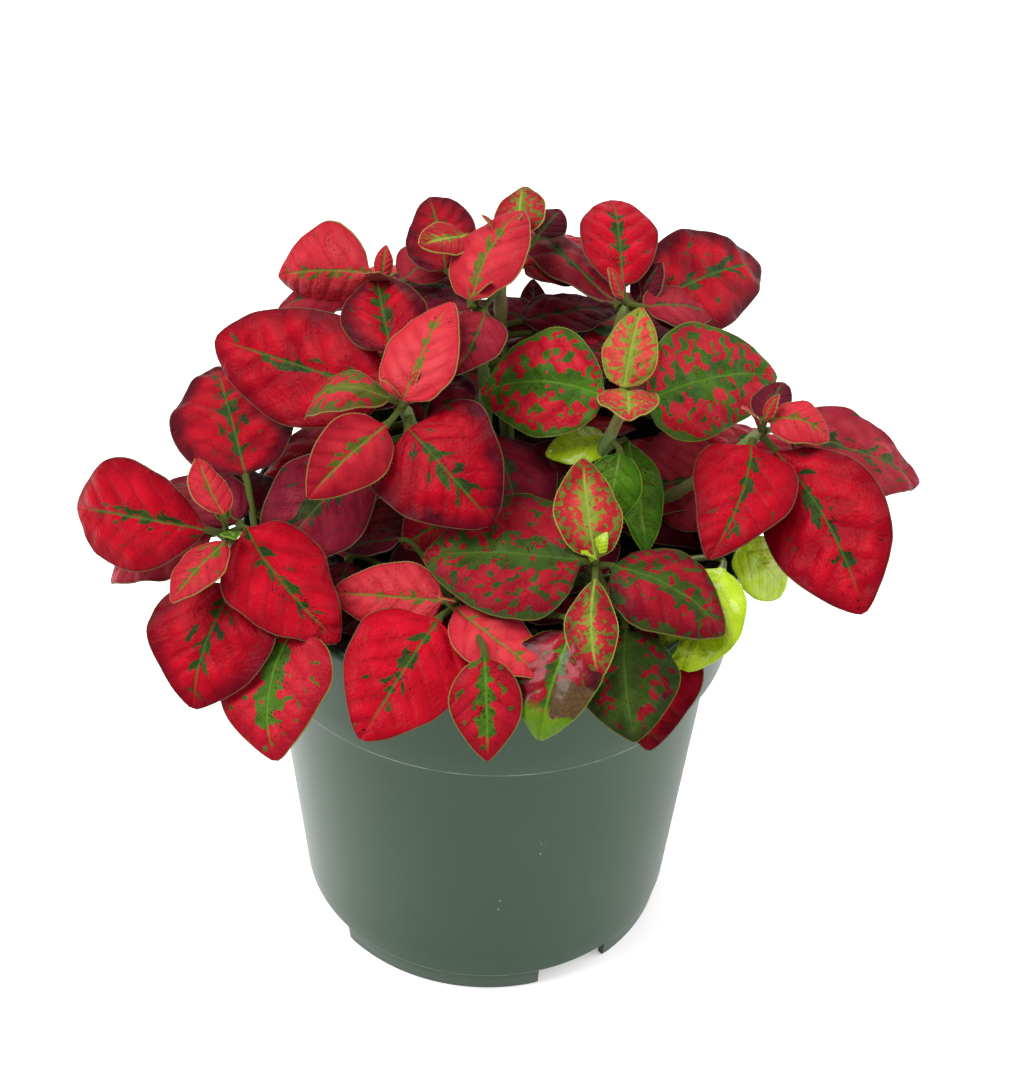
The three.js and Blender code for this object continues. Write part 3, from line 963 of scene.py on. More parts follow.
def blade_rings(figure, blade, tube, rounds):
    """Rings around the blade, which flattens out from the round end of its stalk."""
    bend = 4 * blade.share * (1 - blade.share) * figure.length
    middle = (
        figure.base + figure.along * blade.distance + figure.out * bend * figure.arch
        + figure.across * bend * figure.bow
    )
    flat = eased((blade.distance - 0.2) / (2.2 * max(blade.scale, 0.5)))
    sideways = (1 - flat) * tube * np.cos(rounds) + flat * there_and_back(blade.across)
    upward = (1 - flat) * tube * np.sin(rounds) + flat * there_and_back(blade.top, blade.bottom)
    return middle[:, None] + sideways[..., None] * figure.across + upward[..., None] * figure.out


def margin_hair(skin, edge, outward, direction, length, rng, marks):
    """One pale hair on the margin, a slender four-sided spike."""
    lean = unit(outward + direction * rng.uniform(-0.5, 0.5))
    side = unit(np.cross(lean, direction)) * 0.026
    width = unit(np.cross(side, lean)) * 0.036
    foot = edge - lean * 0.1
    points = [foot + side, foot + width, foot - side, foot - width, edge + lean * length]
    skin.shell(points, [[3, 2, 1, 0], [0, 1, 4], [1, 2, 4], [2, 3, 4], [3, 0, 4]], **marks)


def leaf_hairs(skin, figure, blade, rings, length, seed, tone, rng):
    """Hairs along both edges of a blade."""
    last = blade.across.shape[1] - 1
    walk = 0.0
    for row in range(1, len(rings)):
        walk += np.linalg.norm(rings[row][0] - rings[row - 1][0])
        if walk < HAIR_GAP:
            continue
        walk = 0.0
        for side in (0, last):
            outward = unit(rings[row][side] - rings[row][(last + 1) // 2])
            marks = {
                "leaf_place": [blade.across[row, side], 0.0, 0.25],
                "leaf_kin": [seed, 1.0, blade.share[row, 0]],
                "leaf_mood": tone,
                "leaf_relief": FLAT,
            }
            size = length * rng.uniform(0.5, 1.1)
            margin_hair(skin, rings[row][side], outward, figure.along, size, rng, marks)


def build_leaf(name, figure, kind, sizes, node=None):
    """One leaf in a single closed skin, of its stalk and blade, with hairs along its margin."""
    series, number = (node or name).rsplit("_", 1)
    mood = LEAF_MOODS.get(series, {}).get(int(number), KIND_MOODS[kind])
    finish = leaf_finish_of(mood.finish or kind)
    rng = np.random.default_rng(sum(ord(letter) * (place + 7) for place, letter in enumerate(name)))
    blade = leaf_blade(figure, sizes, finish.paint.pucker, rng)
    seed = rng.uniform(0, 1)
    columns = blade.across.shape[1]
    tube = 0.5 + 0.2 * min(blade.scale, 1.0)
    rounds = np.pi - (np.arange(2 * columns) + 0.5) * np.pi / columns
    stalk = stalk_rings(figure, tube, rounds)
    rings = blade_rings(figure, blade, tube, rounds)
    upper = np.repeat([1.0, 0.0], columns)

    def marked(on_stalk, *on_blade):
        """One row of marks for each point: the same all along the stalk, then the blade's own."""
        rows = np.stack(np.broadcast_arrays(*on_blade), axis=2).reshape(-1, 3)
        return np.concatenate([np.tile(on_stalk, (len(stalk) * 2 * columns, 1)), rows])

    size = figure.width / FULL_WIDTH
    tone = [mood.green, mood.specks, mood.wine]
    skin = Skin()
    skin.shell(
        np.concatenate([*stalk, *rings]), lofted_faces(len(stalk) + len(rings), 2 * columns),
        leaf_place=marked(ON_STALK, *map(there_and_back, (blade.across, blade.margin, blade.veins))),
        leaf_kin=marked([seed, 1.0, -1.0], seed, upper[None, :], blade.share),
        leaf_mood=tone,
        leaf_relief=marked(FLAT, there_and_back(blade.bulge), size, 0.0),
    )
    if sizes.hair > 0:
        leaf_hairs(skin, figure, blade, rings, sizes.hair / MM, seed, tone, rng)
    return skin.piece(name, finish, node)


def leaf_finish(kind):
    """A leaf's finish: green spreads from the veins in ragged patches, over a softly quilted,
    finely pebbled surface with a pale hairy margin. A highlight is painted on the quilting's
    bulges, and shade in its hollows and along the vein creases."""
    tint = LEAF_PAINTS[kind]
    finish = Finish(
        f"leaf_{kind}", Coat_Weight=tint.coat, Coat_Roughness=0.2, Specular_IOR_Level=0.045,
    )
    finish.paint = tint
    x, margin, veins = finish.attribute("leaf_place")
    green, specks, wine = finish.attribute("leaf_mood")
    seed, side, share = finish.attribute("leaf_kin")
    relief, size, _ = finish.attribute("leaf_relief")
    place = finish.place()
    rib = abs(x)
    fine = finish.noise(place, 1500.0, 3.0, 0.6)
    cloud = finish.noise(place, 170.0, 3.0, 0.6)
    bend = (cloud - 0.5) * 1.4
    swept = finish.join(veins * 2.0 + bend, x * 0.46, seed * 40.0)
    coarse = finish.noise(swept, 1.0, 2.0, 0.5)
    small = finish.noise(finish.join(veins * 2.9 + bend, x * 0.8, seed * 70.0), 1.0, 1.0, 0.5)
    round_spots = finish.noise(place, tint.spots, 1.0)
    splashed = finish.step(green, 0.3, 0.42)
    blotch = coarse + (round_spots * 0.8 + small * 0.2 - coarse) * splashed
    vein = (veins + (cloud - 0.5) * 0.14).zigzag()

    # Green along the midrib and the side veins, ragged, most of it around the middle.
    middle = finish.step(share, 0.02, 0.25, 0.55, 1.0) * finish.near(share, 0.6, 0.98)
    by_rib = finish.near(rib / size, 0.0, 4.0) * middle
    by_vein = finish.near(vein, 0.0, 0.38) * finish.near(rib, 1.0, 7.0)
    by_edge = finish.near(margin, 0.4, 2.0) * finish.step(green, 0.4, 0.54)
    spread = by_rib * 0.5 + by_vein * 0.16 + by_edge * 0.5
    spread = spread + (blotch - 0.5) * 2.3 + (fine - 0.5) * 0.12 + green * 1.0 - 0.66
    patch = finish.step(spread, -0.03, 0.04)

    # The open blade: paler in random clouds, wine-dark towards the margin, with a painted highlight
    # on the bulges between the veins and painted shade in the hollows and vein creases.
    # Random paler tone, plus a painted highlight on the bulges between the veins.
    pale = finish.step(cloud, 0.3, 0.72) * 0.4 + finish.step(relief, -0.6, 1.0) * 0.4 + 0.06
    pale = pale * finish.step(margin, 0.5, 4.5, 0.35, 1.0) - wine * 0.35
    dark = finish.near(margin, 0.3, 5.5) * 0.7 + finish.step(cloud, 0.52, 0.3) * 0.25
    # Painted shade in the hollows of the quilting.
    dark = dark + finish.step(relief, 0.0, -1.2) * 0.25
    # Painted shade along the side-vein creases near the midrib.
    crease_shade = finish.near(vein, 0.0, 0.22) * finish.near(rib, 2.5, 9.0) * finish.step(cloud, 0.3, 0.6)
    leafy = finish.layered(
        tint.green,
        (finish.step(cloud, 0.35, 0.65) * 0.5, tint.rib),
        (finish.near(rib, 0.4, 1.8) * green.held() * 0.5, tint.rib),
        # The green darkens towards the margin and with the painted shade in the hollows.
        ((dark * wine.held()).held(), DEEP_GREEN),
    )

    # Flecks: small dark dashes along the side veins' direction, in loose crowds.
    dashes = finish.noise(finish.join(veins * 17.0, x * 1.7, seed * 9.0), 1.0, 1.0)
    crowd = (finish.noise(place, 240.0, 1.0) - 0.5) * 0.35
    dashes = dashes + crowd + specks * 0.12 + finish.near(rib, 0.5, 5.0) * 0.05

    line = finish.near(rib, 0.14, 0.36) * finish.near(share, 0.7, 0.95)
    rim = finish.near(margin, 0.15, 0.9) * (0.6 - green * 0.5).held()
    colour = finish.layered(
        tint.field,
        (pale.held(), tint.bright),
        ((dark * wine.held() * 1.3 + wine.held() * 0.16).held(), tint.wine),
        (crease_shade * 0.24, tint.wine),
        (patch, leafy),
        (finish.step(dashes, 0.73, 0.77) * 0.9, tint.speck),
        (line * 0.85, tint.rib),
        (rim, tint.wine),
    )
    if tint.dried:
        burnt = finish.near(share, 0.6, 0.88) * finish.step(share, 0.35, 0.6)
        burnt = burnt * finish.near(x, -1.5, 1.0) * 1.3 + (cloud - 0.5) * 2.0
        burnt = finish.step(burnt, 0.5, 0.62) * tint.dried
        brown = finish.mix(fine, DRIED_DARK, DRIED_PALE)
        lime_tip = finish.step(share, 0.66, 0.8) * 0.85
        colour = finish.layered(colour, (lime_tip, tint.rib), (burnt, brown))
    below = finish.layered(
        tint.under,
        (finish.near(vein, 0.02, 0.1) * 0.4, tint.rib),
        (finish.step(cloud, 0.3, 0.8) * 0.5, tint.wine),
    )
    colour = finish.layered(
        colour,
        (finish.near(margin, 0.1, 0.26) * 0.75, tint.edge),
        (1 - side, below),
        (finish.near(share, -0.3, 0.02), STALK),
    )

    pebbles = finish.cells(place, 1500.0)
    groove = finish.step(vein, 0.0, 0.26) * finish.near(rib, 4.0, 12.0) * 0.5
    groove = groove + finish.step(rib, 0.0, 0.5) * 0.6
    crinkle = finish.noise(place, 420.0, 2.0)
    height = groove + fine * 0.3 + (1 - pebbles) * 0.35 * tint.pucker + crinkle * 1.6
    finish.feed(
        Base_Color=colour, Roughness=fine * 0.24 + (tint.roughness - 0.12),
        Normal=finish.bump(height, 0.0003, 0.7),
    )
    return finish


LEAF_FINISHES = {}


def leaf_finish_of(kind):
    """The finish of a kind of leaf, made when it is first asked for."""
    if kind not in LEAF_FINISHES:
        LEAF_FINISHES[kind] = leaf_finish(kind)
    return LEAF_FINISHES[kind]


# ---------------- stems


STEM_STEPS, STEM_SIDES, STEM_HAIRS = 46, 18, 170
STEM_JOINTS = (0.34, 0.5, 0.66, 0.82, 0.97)  # where a stem is swollen, as shares of it
FIRST_HAIRY_STEP = 12


def build_stem(name, line, sizes, finish):
    """A stem with a swollen joint every so often, softly ribbed, from its root to its tip."""
    rng = np.random.default_rng(sum(map(ord, name)))
    path = smooth_path(line, STEM_STEPS)
    foot, tip = sizes.stem_foot / MM, sizes.stem_tip / MM
    steps = np.linspace(0, 1, len(path))
    radius = foot + (tip - foot) * steps
    for joint in STEM_JOINTS:
        radius = radius * (1 + 0.22 * np.exp(-(((steps - joint) / 0.018) ** 2)))
    radius[-1] *= 0.55
    tangents = np.gradient(path, axis=0)
    across, out = turned([np.array([1.0, 0, 0]), np.array([0, 1.0, 0])], UP, unit(tangents[0]))
    before = unit(tangents[0])
    angle = np.linspace(0, 2 * np.pi, STEM_SIDES, endpoint=False)
    ribbed = 1 + 0.07 * np.cos(4 * angle)
    rings, place = [], []
    for here, tangent, size, step in zip(path, tangents, radius, steps):
        across, out = turned([across, out], before, unit(tangent))
        before = unit(tangent)
        circle = np.cos(angle)[:, None] * across + np.sin(angle)[:, None] * out
        rings.append(here + size * ribbed[:, None] * circle)
        place.append(np.tile([step, 1.0, 0.0], (STEM_SIDES, 1)))
    skin = Skin()
    faces = lofted_faces(len(rings), STEM_SIDES)
    skin.shell(np.concatenate(rings), faces, stem_place=np.concatenate(place))
    hair = sizes.hair / MM
    for _ in range(STEM_HAIRS if hair > 0 else 0):
        ring = rng.integers(FIRST_HAIRY_STEP, len(path) - 1)
        side = rng.integers(0, STEM_SIDES)
        edge = rings[ring][side]
        outward = unit(edge - path[ring])
        marks = {"stem_place": [steps[ring], 0.0, 0.0]}
        size = hair * rng.uniform(0.7, 1.5)
        margin_hair(skin, edge, outward, unit(tangents[ring]), size, rng, marks)
    return skin.piece(name.replace("_stem", "_shoot"), finish, name)


def stem_finish(colours):
    """A green stem with paler streaks, a red blush and a brown foot."""
    finish = Finish("stem", Roughness=0.5, Specular_IOR_Level=0.4)
    step, skinned, _ = finish.attribute("stem_place")
    place = finish.place()
    streaks = finish.noise(finish.stretch(place, 900.0, 900.0, 160.0), 1.0, 3.0)
    blush = finish.noise(place, 120.0, 2.0)
    colour = finish.layered(
        tuple(colours.stem),
        (finish.step(streaks, 0.35, 0.7) * 0.6, paint(108, 128, 66)),
        (finish.step(blush, 0.45, 0.7) * 0.5, paint(120, 58, 48)),
        (finish.near(step, 0.1, 0.45) * 0.6, paint(92, 74, 50)),
        (1 - skinned, paint(196, 196, 170)),
    )
    finish.feed(Base_Color=colour, Normal=finish.bump(streaks, 0.0002, 0.5))
    return finish


# ---------------- pot


# The moulding's outline as radius and height, with the radius that rounds each corner.
POT_OUTLINE = [
    (20.0, 4.8, 0.0),  # the floor's lower face
    (39.6, 4.8, 0.2),
    (40.4, 5.1, 0.3),
    (46.4, 74.3, 0.25),
    (49.3, 74.6, 0.35),  # the band's lower edge
    (51.0, 97.4, 0.8),
    (50.4, 98.5, 0.5),  # the lip
    (49.7, 98.5, 0.4),
    (48.2, 75.8, 0.5),
    (45.3, 75.4, 0.4),
    (39.3, 6.0, 0.8),
    (20.0, 6.0, 0.0),
]
FOOT_OUTLINE = [(39.9, 5.0), (39.4, 0.25), (39.2, 0.0), (38.0, 0.0), (37.7, 0.25), (37.8, 5.0)]
BAND_EDGE, FOOT_EDGE = 74.7, 5.1  # the heights of the two corners that get a painted highlight line
NOTCH_COUNT, NOTCH_FIRST, NOTCH_ANGLE = 4, 30.0, 24.0
DRAIN_REACH = 29.0  # from the pot's middle line to a drain hole's
DRILL = [(4.0, 4.0), (4.0, 7.0)]  # what cuts a drain hole, as radius and height
POT_SIDES, DRAIN_SIDES = 256, 32
ROUNDING_STEPS = 5
LONGEST_STEP = 6.0
FOOT_SECTIONS = 40


def rounded(outline):
    """An open outline of radius, height and rounding, with its corners rounded off."""
    ends = [np.array(corner[:2]) for corner in outline]
    made = [ends[0]]
    for before, corner, after, (_, _, size) in zip(ends, ends[1:], ends[2:], outline[1:]):
        start = corner + unit(before - corner) * size
        end = corner + unit(after - corner) * size
        for share in np.linspace(0, 1, ROUNDING_STEPS):
            rest = 1 - share
            made.append(rest**2 * start + 2 * share * rest * corner + share**2 * end)
    return np.array([*made, ends[-1]])


def long_steps(outline, longest):
    """The outline with its long straight runs cut into shorter ones."""
    made = [outline[0]]
    for start, end in zip(outline, outline[1:]):
        count = max(1, math.ceil(np.linalg.norm(end - start) / longest))
        made.extend(start + (end - start) * share for share in np.arange(1, count + 1) / count)
    return np.array(made)


def turned_body(outline, sides, centre=AXIS):
    """Rings of an outline turned about an upright line, from its first point to its last."""
    angle = np.arange(sides) * 2 * np.pi / sides
    around = np.stack([np.cos(angle), np.sin(angle), np.zeros(sides)], 1)
    return np.concatenate([centre + around * radius + UP * height for radius, height in outline])


def foot_sector(start, end):
    """One arc of the foot ring, between two notches, as a closed body."""
    outline = np.array(FOOT_OUTLINE)
    middle = (start + end) / 2
    rings = []
    for heading in np.linspace(start, end, FOOT_SECTIONS):
        outward = pointed(heading, 0.0)
        # The ends are drawn in a little, so that the arc's corners are soft.
        slack = 1 - 0.12 * (abs(heading - middle) > (end - start) / 2 - 0.3)
        centre = outline[:, 0].mean()
        rings.append([
            AXIS + outward * (centre + (radius - centre) * slack) + UP * height
            for radius, height in outline
        ])
    faces = lofted_faces(FOOT_SECTIONS, len(outline))
    return np.concatenate(rings), [face[::-1] for face in faces]


def pot_finish(colours):
    """Moulded plastic: a satin with faint flow streaks, painted highlight lines along two corners,
    scratches and dust.
    """
    finish = Finish("pot", Specular_IOR_Level=0.23)
    place = finish.place()
    flow = finish.noise(finish.stretch(place, 60.0, 60.0, 9.0), 1.0, 3.0, 0.55)
    grain = finish.noise(place, 2600.0, 2.0)
    cloud = finish.noise(place, 30.0, 3.0)
    scratch = finish.cells(finish.stretch(place, 420.0, 420.0, 90.0), 1.0, "DISTANCE_TO_EDGE")
    rare = finish.step(finish.noise(place, 90.0, 1.0), 0.72, 0.76)
    chosen = finish.split(finish.cells(place, 190.0, output="Color"))[1]
    dust = finish.near(finish.cells(place, 190.0), 0.03, 0.06) * chosen.over(0.93)
    level = finish.split(place)[2] / MM
    # A pale line painted along the band's lower edge and the foot's edge as a highlight, its
    # strength broken up by noise.
    edge_highlight = finish.near(abs(level - BAND_EDGE), 0.1, 0.42)
    edge_highlight = edge_highlight + finish.near(abs(level - FOOT_EDGE), 0.1, 0.4)
    highlight_strength = finish.step(finish.noise(place, 260.0, 3.0), 0.36, 0.66, 0.08, 0.5)
    colour = finish.layered(
        tuple(colours.pot),
        (finish.step(flow, 0.3, 0.75) * 0.35, paint(38, 66, 46)),
        (finish.step(cloud, 0.45, 0.8) * 0.25, paint(46, 68, 52)),
        (finish.near(scratch, 0.0, 0.02) * rare * 0.5, paint(150, 166, 156)),
        (dust * 0.5, paint(168, 178, 170)),
        ((edge_highlight * highlight_strength).held(), paint(150, 166, 152)),
    )
    height = flow * 0.5 + grain * 0.12
    finish.feed(
        Base_Color=colour, Roughness=flow * 0.1 + grain * 0.06 + 0.25,
        Normal=finish.bump(height, 0.0004, 0.35),
    )
    return finish


# ---------------- soil


SOIL_SIDE = [(38.6, 6.3), (44.6, 75.2), (45.0, 76.0), (47.55, 76.6), (47.75, 84.2)]
SOIL_EDGE, SOIL_CROWN = 84.5, 87.5
SOIL_SIDES = 150
MOUND_RADII = np.append(np.linspace(47.6, 2.0, 58), 0.8)
MOUND_REACH = 47.8
POT_WALL, WALL_EASE = 48.2, 4.0  # the mix grows even within this far of the pot's wall
CRUMBS, CRUMB_REACH, LARGEST_CRUMB = 1100, 46.3, 1.7
LUMP_RINGS, LUMP_SIDES = 4, 7
PERLITE_SHARE = 0.035


def soil_finish(colours):
    """Moist peat and bark crumbs, with a little white perlite."""
    finish = Finish("soil", Specular_IOR_Level=0.35)
    tone, perlite, _ = finish.attribute("soil_grain")
    place = finish.place()
    crumbs = finish.noise(place, 700.0, 4.0, 0.7)
    fibres = finish.noise(finish.stretch(place, 300.0, 1500.0, 900.0), 1.0, 3.0, 0.7)
    colour = finish.layered(
        tuple(colours.soil),
        (finish.step(crumbs, 0.35, 0.7), paint(74, 54, 40)),
        (finish.step(fibres, 0.55, 0.7) * 0.5, paint(98, 72, 50)),
        (tone * 0.5, paint(22, 16, 13)),
        (perlite, paint(206, 202, 192)),
    )
    height = crumbs * 0.8 + fibres * 0.4
    finish.feed(
        Base_Color=colour, Roughness=crumbs * 0.3 + 0.66, Normal=finish.bump(height, 0.0006, 0.8)
    )
    return finish


def lump(rng, centre, size):
    """An uneven crumb: a coarse ball with its corners pulled about."""
    stretch = rng.uniform(0.6, 1.3, 3) * size
    corners = []
    for step in range(LUMP_RINGS):
        height = math.cos(math.pi * (step + 0.5) / LUMP_RINGS)
        around = math.sin(math.pi * (step + 0.5) / LUMP_RINGS)
        for turn in range(LUMP_SIDES):
            angle = 2 * math.pi * (turn + 0.5 * (step % 2)) / LUMP_SIDES
            corners.append([math.cos(angle) * around, math.sin(angle) * around, height])
    corners = np.array(corners) * rng.uniform(0.75, 1.15, (len(corners), 1)) * stretch
    turn = Quaternion(Vector(rng.normal(size=3)), rng.uniform(0, 6)).to_matrix()
    corners = corners @ np.array(turn)
    faces = lofted_faces(LUMP_RINGS, LUMP_SIDES)
    return corners + centre, [face[::-1] for face in faces]


# ---------------- operators


class PLANT_OT_pot(bpy.types.Operator):
    """Builds the nursery pot with its banded rim, notched foot ring and drain holes"""

    bl_idname = "plant.pot"
    bl_label = "Pot"

    def execute(self, context):
        outline = long_steps(rounded(POT_OUTLINE), LONGEST_STEP)
        finish = pot_finish(context.scene.plant_colours)
        skin = Skin()
        skin.shell(turned_body(outline, POT_SIDES), lofted_faces(len(outline), POT_SIDES))
        for notch in range(NOTCH_COUNT):
            start = NOTCH_FIRST + 360 / NOTCH_COUNT * notch + NOTCH_ANGLE / 2
            skin.shell(*foot_sector(start, start + 360 / NOTCH_COUNT - NOTCH_ANGLE))
        made = skin.piece("nursery_pot", finish, "pot", sharp=40)
        drills = Skin()
        for notch in range(NOTCH_COUNT):
            heading = NOTCH_FIRST + 360 / NOTCH_COUNT * notch
            centre = AXIS + pointed(heading, 0.0) * DRAIN_REACH
            drills.shell(turned_body(DRILL, DRAIN_SIDES, centre), lofted_faces(2, DRAIN_SIDES))
        self.drill(made, drills)
        return {"FINISHED"}

    def drill(self, made, drills):
        """Cuts the drills' shape out of the piece and drops them."""
        cutter = new_object("drills", np.concatenate(drills.points), drills.faces)
        cut = made.modifiers.new("drain holes", "BOOLEAN")
        cut.object = cutter
        cut.solver = "EXACT"
        shaped = made.evaluated_get(bpy.context.evaluated_depsgraph_get())
        spent = [made.data, cutter.data]
        made.data = bpy.data.meshes.new_from_object(shaped)
        made.modifiers.clear()
        bpy.data.objects.remove(cutter)
        for mesh in spent:
            bpy.data.meshes.remove(mesh)


def soil_height(radius):
    """The soil's mean height at a radius: a low mound inside the pot."""
    share = np.clip(radius / MOUND_REACH, 0, 1)
    return SOIL_EDGE + (SOIL_CROWN - SOIL_EDGE) * (1 - share**2.4)


class PLANT_OT_soil(bpy.types.Operator):
    """Builds the mound of potting mix, with loose crumbs of peat and bark and a little perlite"""

    bl_idname = "plant.soil"
    bl_label = "Potting mix"

    def execute(self, context):
        finish = soil_finish(context.scene.plant_colours)
        rng = np.random.default_rng(11)
        skin = Skin()
        outline = [*SOIL_SIDE, *zip(MOUND_RADII, soil_height(MOUND_RADII))]
        points = turned_body(outline, SOIL_SIDES)
        for point in points[len(SOIL_SIDE) * SOIL_SIDES:]:
            rough = noise.fractal(Vector(point) * 0.16, 0.6, 2.1, 5)
            edge = min(1.0, (POT_WALL - math.dist(point[:2], AXIS[:2])) / WALL_EASE)
            point[2] += (1.1 * rough - 0.3) * edge
        skin.shell(points, lofted_faces(len(outline), SOIL_SIDES), soil_grain=[0.0, 0.0, 0.0])
        for _ in range(CRUMBS):
            reach, turn = CRUMB_REACH * math.sqrt(rng.uniform()), rng.uniform(0, 2 * math.pi)
            centre = AXIS + [reach * math.cos(turn), reach * math.sin(turn), 0.0]
            centre[2] = soil_height(reach) + rng.uniform(-0.3, 0.5)
            perlite = rng.uniform() < PERLITE_SHARE
            size = rng.uniform(0.5, 0.9) if perlite else 0.35 + rng.exponential(0.4)
            grain = [rng.uniform(), float(perlite), 0.0]
            skin.shell(*lump(rng, centre, min(size, LARGEST_CRUMB)), soil_grain=grain)
        skin.piece("potting_mix", finish, "soil", sharp=60)
        return {"FINISHED"}


class PLANT_OT_stems(bpy.types.Operator):
    """Builds the ten leafy shoots' stems, softly ribbed and faintly hairy"""

    bl_idname = "plant.stems"
    bl_label = "Stems"

    def execute(self, context):
        finish = stem_finish(context.scene.plant_colours)
        for node, line in STEMS.items():
            build_stem(node, line, context.scene.plant_sizes, finish)
        return {"FINISHED"}


class PLANT_OT_leaves(bpy.types.Operator):
    """Builds a full leaf over each leaf solid of the frame"""

    bl_idname = "plant.leaves"
    bl_label = "Leaves"

    def execute(self, context):
        for node, slot in SLOT_OF.items():
            if not slot.startswith("leaf_"):
                continue
            shift, shape = LEAF_CHANGES.get(node, ((0.0, 0.0, 0.0), {}))
            figure = moved(read_leaf(node), shift, **shape)
            name, kind = node.replace("_leaf_", "_blade_"), slot.removeprefix("leaf_")
            build_leaf(name, figure, kind, context.scene.plant_sizes, node)
        return {"FINISHED"}


class PLANT_OT_small_leaves(bpy.types.Operator):
    """Builds the small leaves, the low leaves and the buds between the full ones"""

    bl_idname = "plant.small_leaves"
    bl_label = "Small leaves"

    def execute(self, context):
        sizes = context.scene.plant_sizes
        for shoot, rows in SMALL_LEAVES.items():
            for number, (kind, *where, length, width, shape) in enumerate(rows, 1):
                figure = directed_leaf(*where, length, width, **{"stem": shoot, **shape})
                build_leaf(f"{shoot}_small_{number}", figure, kind, sizes)
        for shoot, rows in LOW_LEAVES.items():
            for number, (kind, *where) in enumerate(rows, 1):
                build_leaf(f"{shoot}_low_{number}", grown_leaf(shoot, *where), kind, sizes)
        for shoot, (kind, rows) in BUDS.items():
            for number, where in enumerate(rows, 1):
                build_leaf(f"{shoot}_bud_{number}", grown_leaf(shoot, 1.0, *where), kind, sizes)
        return {"FINISHED"}


IMAGE_WIDTH, IMAGE_HEIGHT, FOCAL = 1024, 1087, 2200.0  # all in pixels
SIGHT_X, SIGHT_Y = 494.009, 853.294  # where the foot of the pot's middle line is in the view
SIGHT_DISTANCE, SIGHT_ELEVATION, SIGHT_ROLL = 510.889, 47.28284, 1.63077
SENSOR = 36.0
FLOOR_REACH, FLOOR_LEVEL = 3000.0, -0.05  # the level is just under the pot's foot
ROOM_LIGHT = 0.68
LAMP_AIM = (0.0, 0.0, 0.07)
LAMPS = {  # each one's place and size in metres, and its power in watts
    "key": ((-0.6, -0.1, 1.05), 0.8, 18.5),
    "fill": ((1.0, 0.1, 0.55), 0.9, 9.0),
    "back": ((0.1, 0.9, 0.8), 0.7, 3.0),
}


def floor_finish(colours):
    """A matt, faintly glowing white that hardly varies."""
    finish = Finish(
        "floor", Roughness=0.7, Specular_IOR_Level=0.1, Emission_Color=(1.0, 1.0, 1.0),
        Emission_Strength=0.32,
    )
    cloud = finish.noise(finish.place(), 3.0, 2.0)
    finish.feed(Base_Color=finish.mix(cloud * 0.03, tuple(colours.floor), (0.8, 0.8, 0.8)))
    return finish


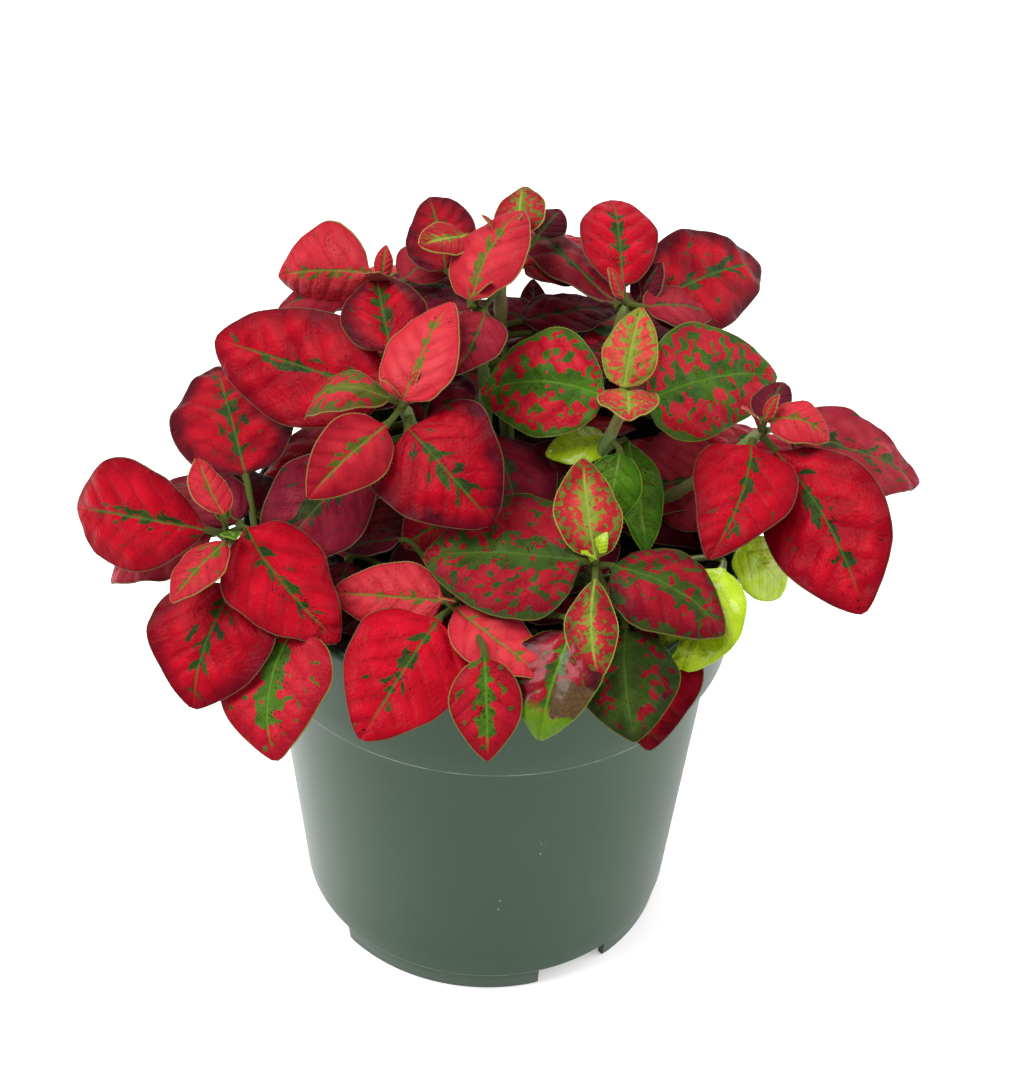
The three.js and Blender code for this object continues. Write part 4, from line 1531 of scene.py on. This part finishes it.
class PLANT_OT_stage(bpy.types.Operator):
    """Sets the plain pale floor, the soft studio light and the camera"""

    bl_idname = "plant.stage"
    bl_label = "Stage"

    def execute(self, context):
        scene = context.scene
        self.floor(scene.plant_colours)
        self.light(scene)
        self.camera(scene)
        scene.view_settings.view_transform = "Standard"
        return {"FINISHED"}

    def floor(self, colours):
        corners = [(-1, -1), (1, -1), (1, 1), (-1, 1)]
        corners = [(x * FLOOR_REACH, y * FLOOR_REACH, FLOOR_LEVEL) for x, y in corners]
        made = new_object("floor", corners, [(0, 1, 2, 3)])
        made.data.materials.append(floor_finish(colours).material)

    def light(self, scene):
        world = bpy.data.worlds.new("soft room")
        world.use_nodes = True
        background = world.node_tree.nodes["Background"]
        background.inputs["Color"].default_value = (1.0, 1.0, 1.0, 1.0)
        background.inputs["Strength"].default_value = ROOM_LIGHT
        scene.world = world
        for name, (place, size, power) in LAMPS.items():
            lamp = bpy.data.lights.new(name, "AREA")
            lamp.size = size
            lamp.energy = power
            made = bpy.data.objects.new(name, lamp)
            made.location = place
            aim = Vector(LAMP_AIM) - made.location
            made.rotation_euler = aim.to_track_quat("-Z", "Y").to_euler()
            scene.collection.objects.link(made)

    def camera(self, scene):
        down = SIGHT_Y - IMAGE_HEIGHT / 2
        tilt = math.atan2(down, FOCAL)
        swing = math.atan2(SIGHT_X - IMAGE_WIDTH / 2, math.hypot(FOCAL, down))
        facing = (
            Matrix.Rotation(math.radians(90 - SIGHT_ELEVATION) + tilt, 4, "X")
            @ Matrix.Rotation(swing, 4, "Y")
            @ Matrix.Rotation(math.radians(SIGHT_ROLL), 4, "Z")
        )
        lens = bpy.data.cameras.new("camera")
        lens.sensor_fit = "HORIZONTAL"
        lens.sensor_width = SENSOR
        lens.lens = FOCAL / IMAGE_WIDTH * SENSOR
        lens.clip_start, lens.clip_end = 0.01, 20.0
        made = bpy.data.objects.new("camera", lens)
        place = (AXIS + pointed(0.0, SIGHT_ELEVATION) * SIGHT_DISTANCE) * MM
        made.matrix_world = Matrix.Translation(place) @ facing
        scene.collection.objects.link(made)
        scene.camera = made


class PLANT_PT_panel(bpy.types.Panel):
    """Lists the plant's pieces, in the order that they are built"""

    bl_idname = "PLANT_PT_panel"
    bl_label = "Polka Dot Plant"
    bl_space_type = "VIEW_3D"
    bl_region_type = "UI"
    bl_category = "Plant"

    def draw(self, context):
        for group in (context.scene.plant_sizes, context.scene.plant_colours):
            for name in group.__annotations__:
                self.layout.prop(group, name)
        for maker in MAKERS:
            self.layout.operator(maker.bl_idname)


MAKERS = (
    PLANT_OT_pot, PLANT_OT_soil, PLANT_OT_stems, PLANT_OT_leaves, PLANT_OT_small_leaves,
    PLANT_OT_stage,
)
CLASSES = (PlantSizes, PlantColours, *MAKERS, PLANT_PT_panel)


def register():
    for kind in CLASSES:
        bpy.utils.register_class(kind)
    bpy.types.Scene.plant_sizes = bpy.props.PointerProperty(type=PlantSizes)
    bpy.types.Scene.plant_colours = bpy.props.PointerProperty(type=PlantColours)


def unregister():
    del bpy.types.Scene.plant_colours
    del bpy.types.Scene.plant_sizes
    for kind in reversed(CLASSES):
        bpy.utils.unregister_class(kind)


def main():
    register()
    bpy.ops.plant.pot()
    bpy.ops.plant.soil()
    bpy.ops.plant.stems()
    bpy.ops.plant.leaves()
    bpy.ops.plant.small_leaves()
    bpy.ops.plant.stage()


if __name__ == "__main__":
    main()
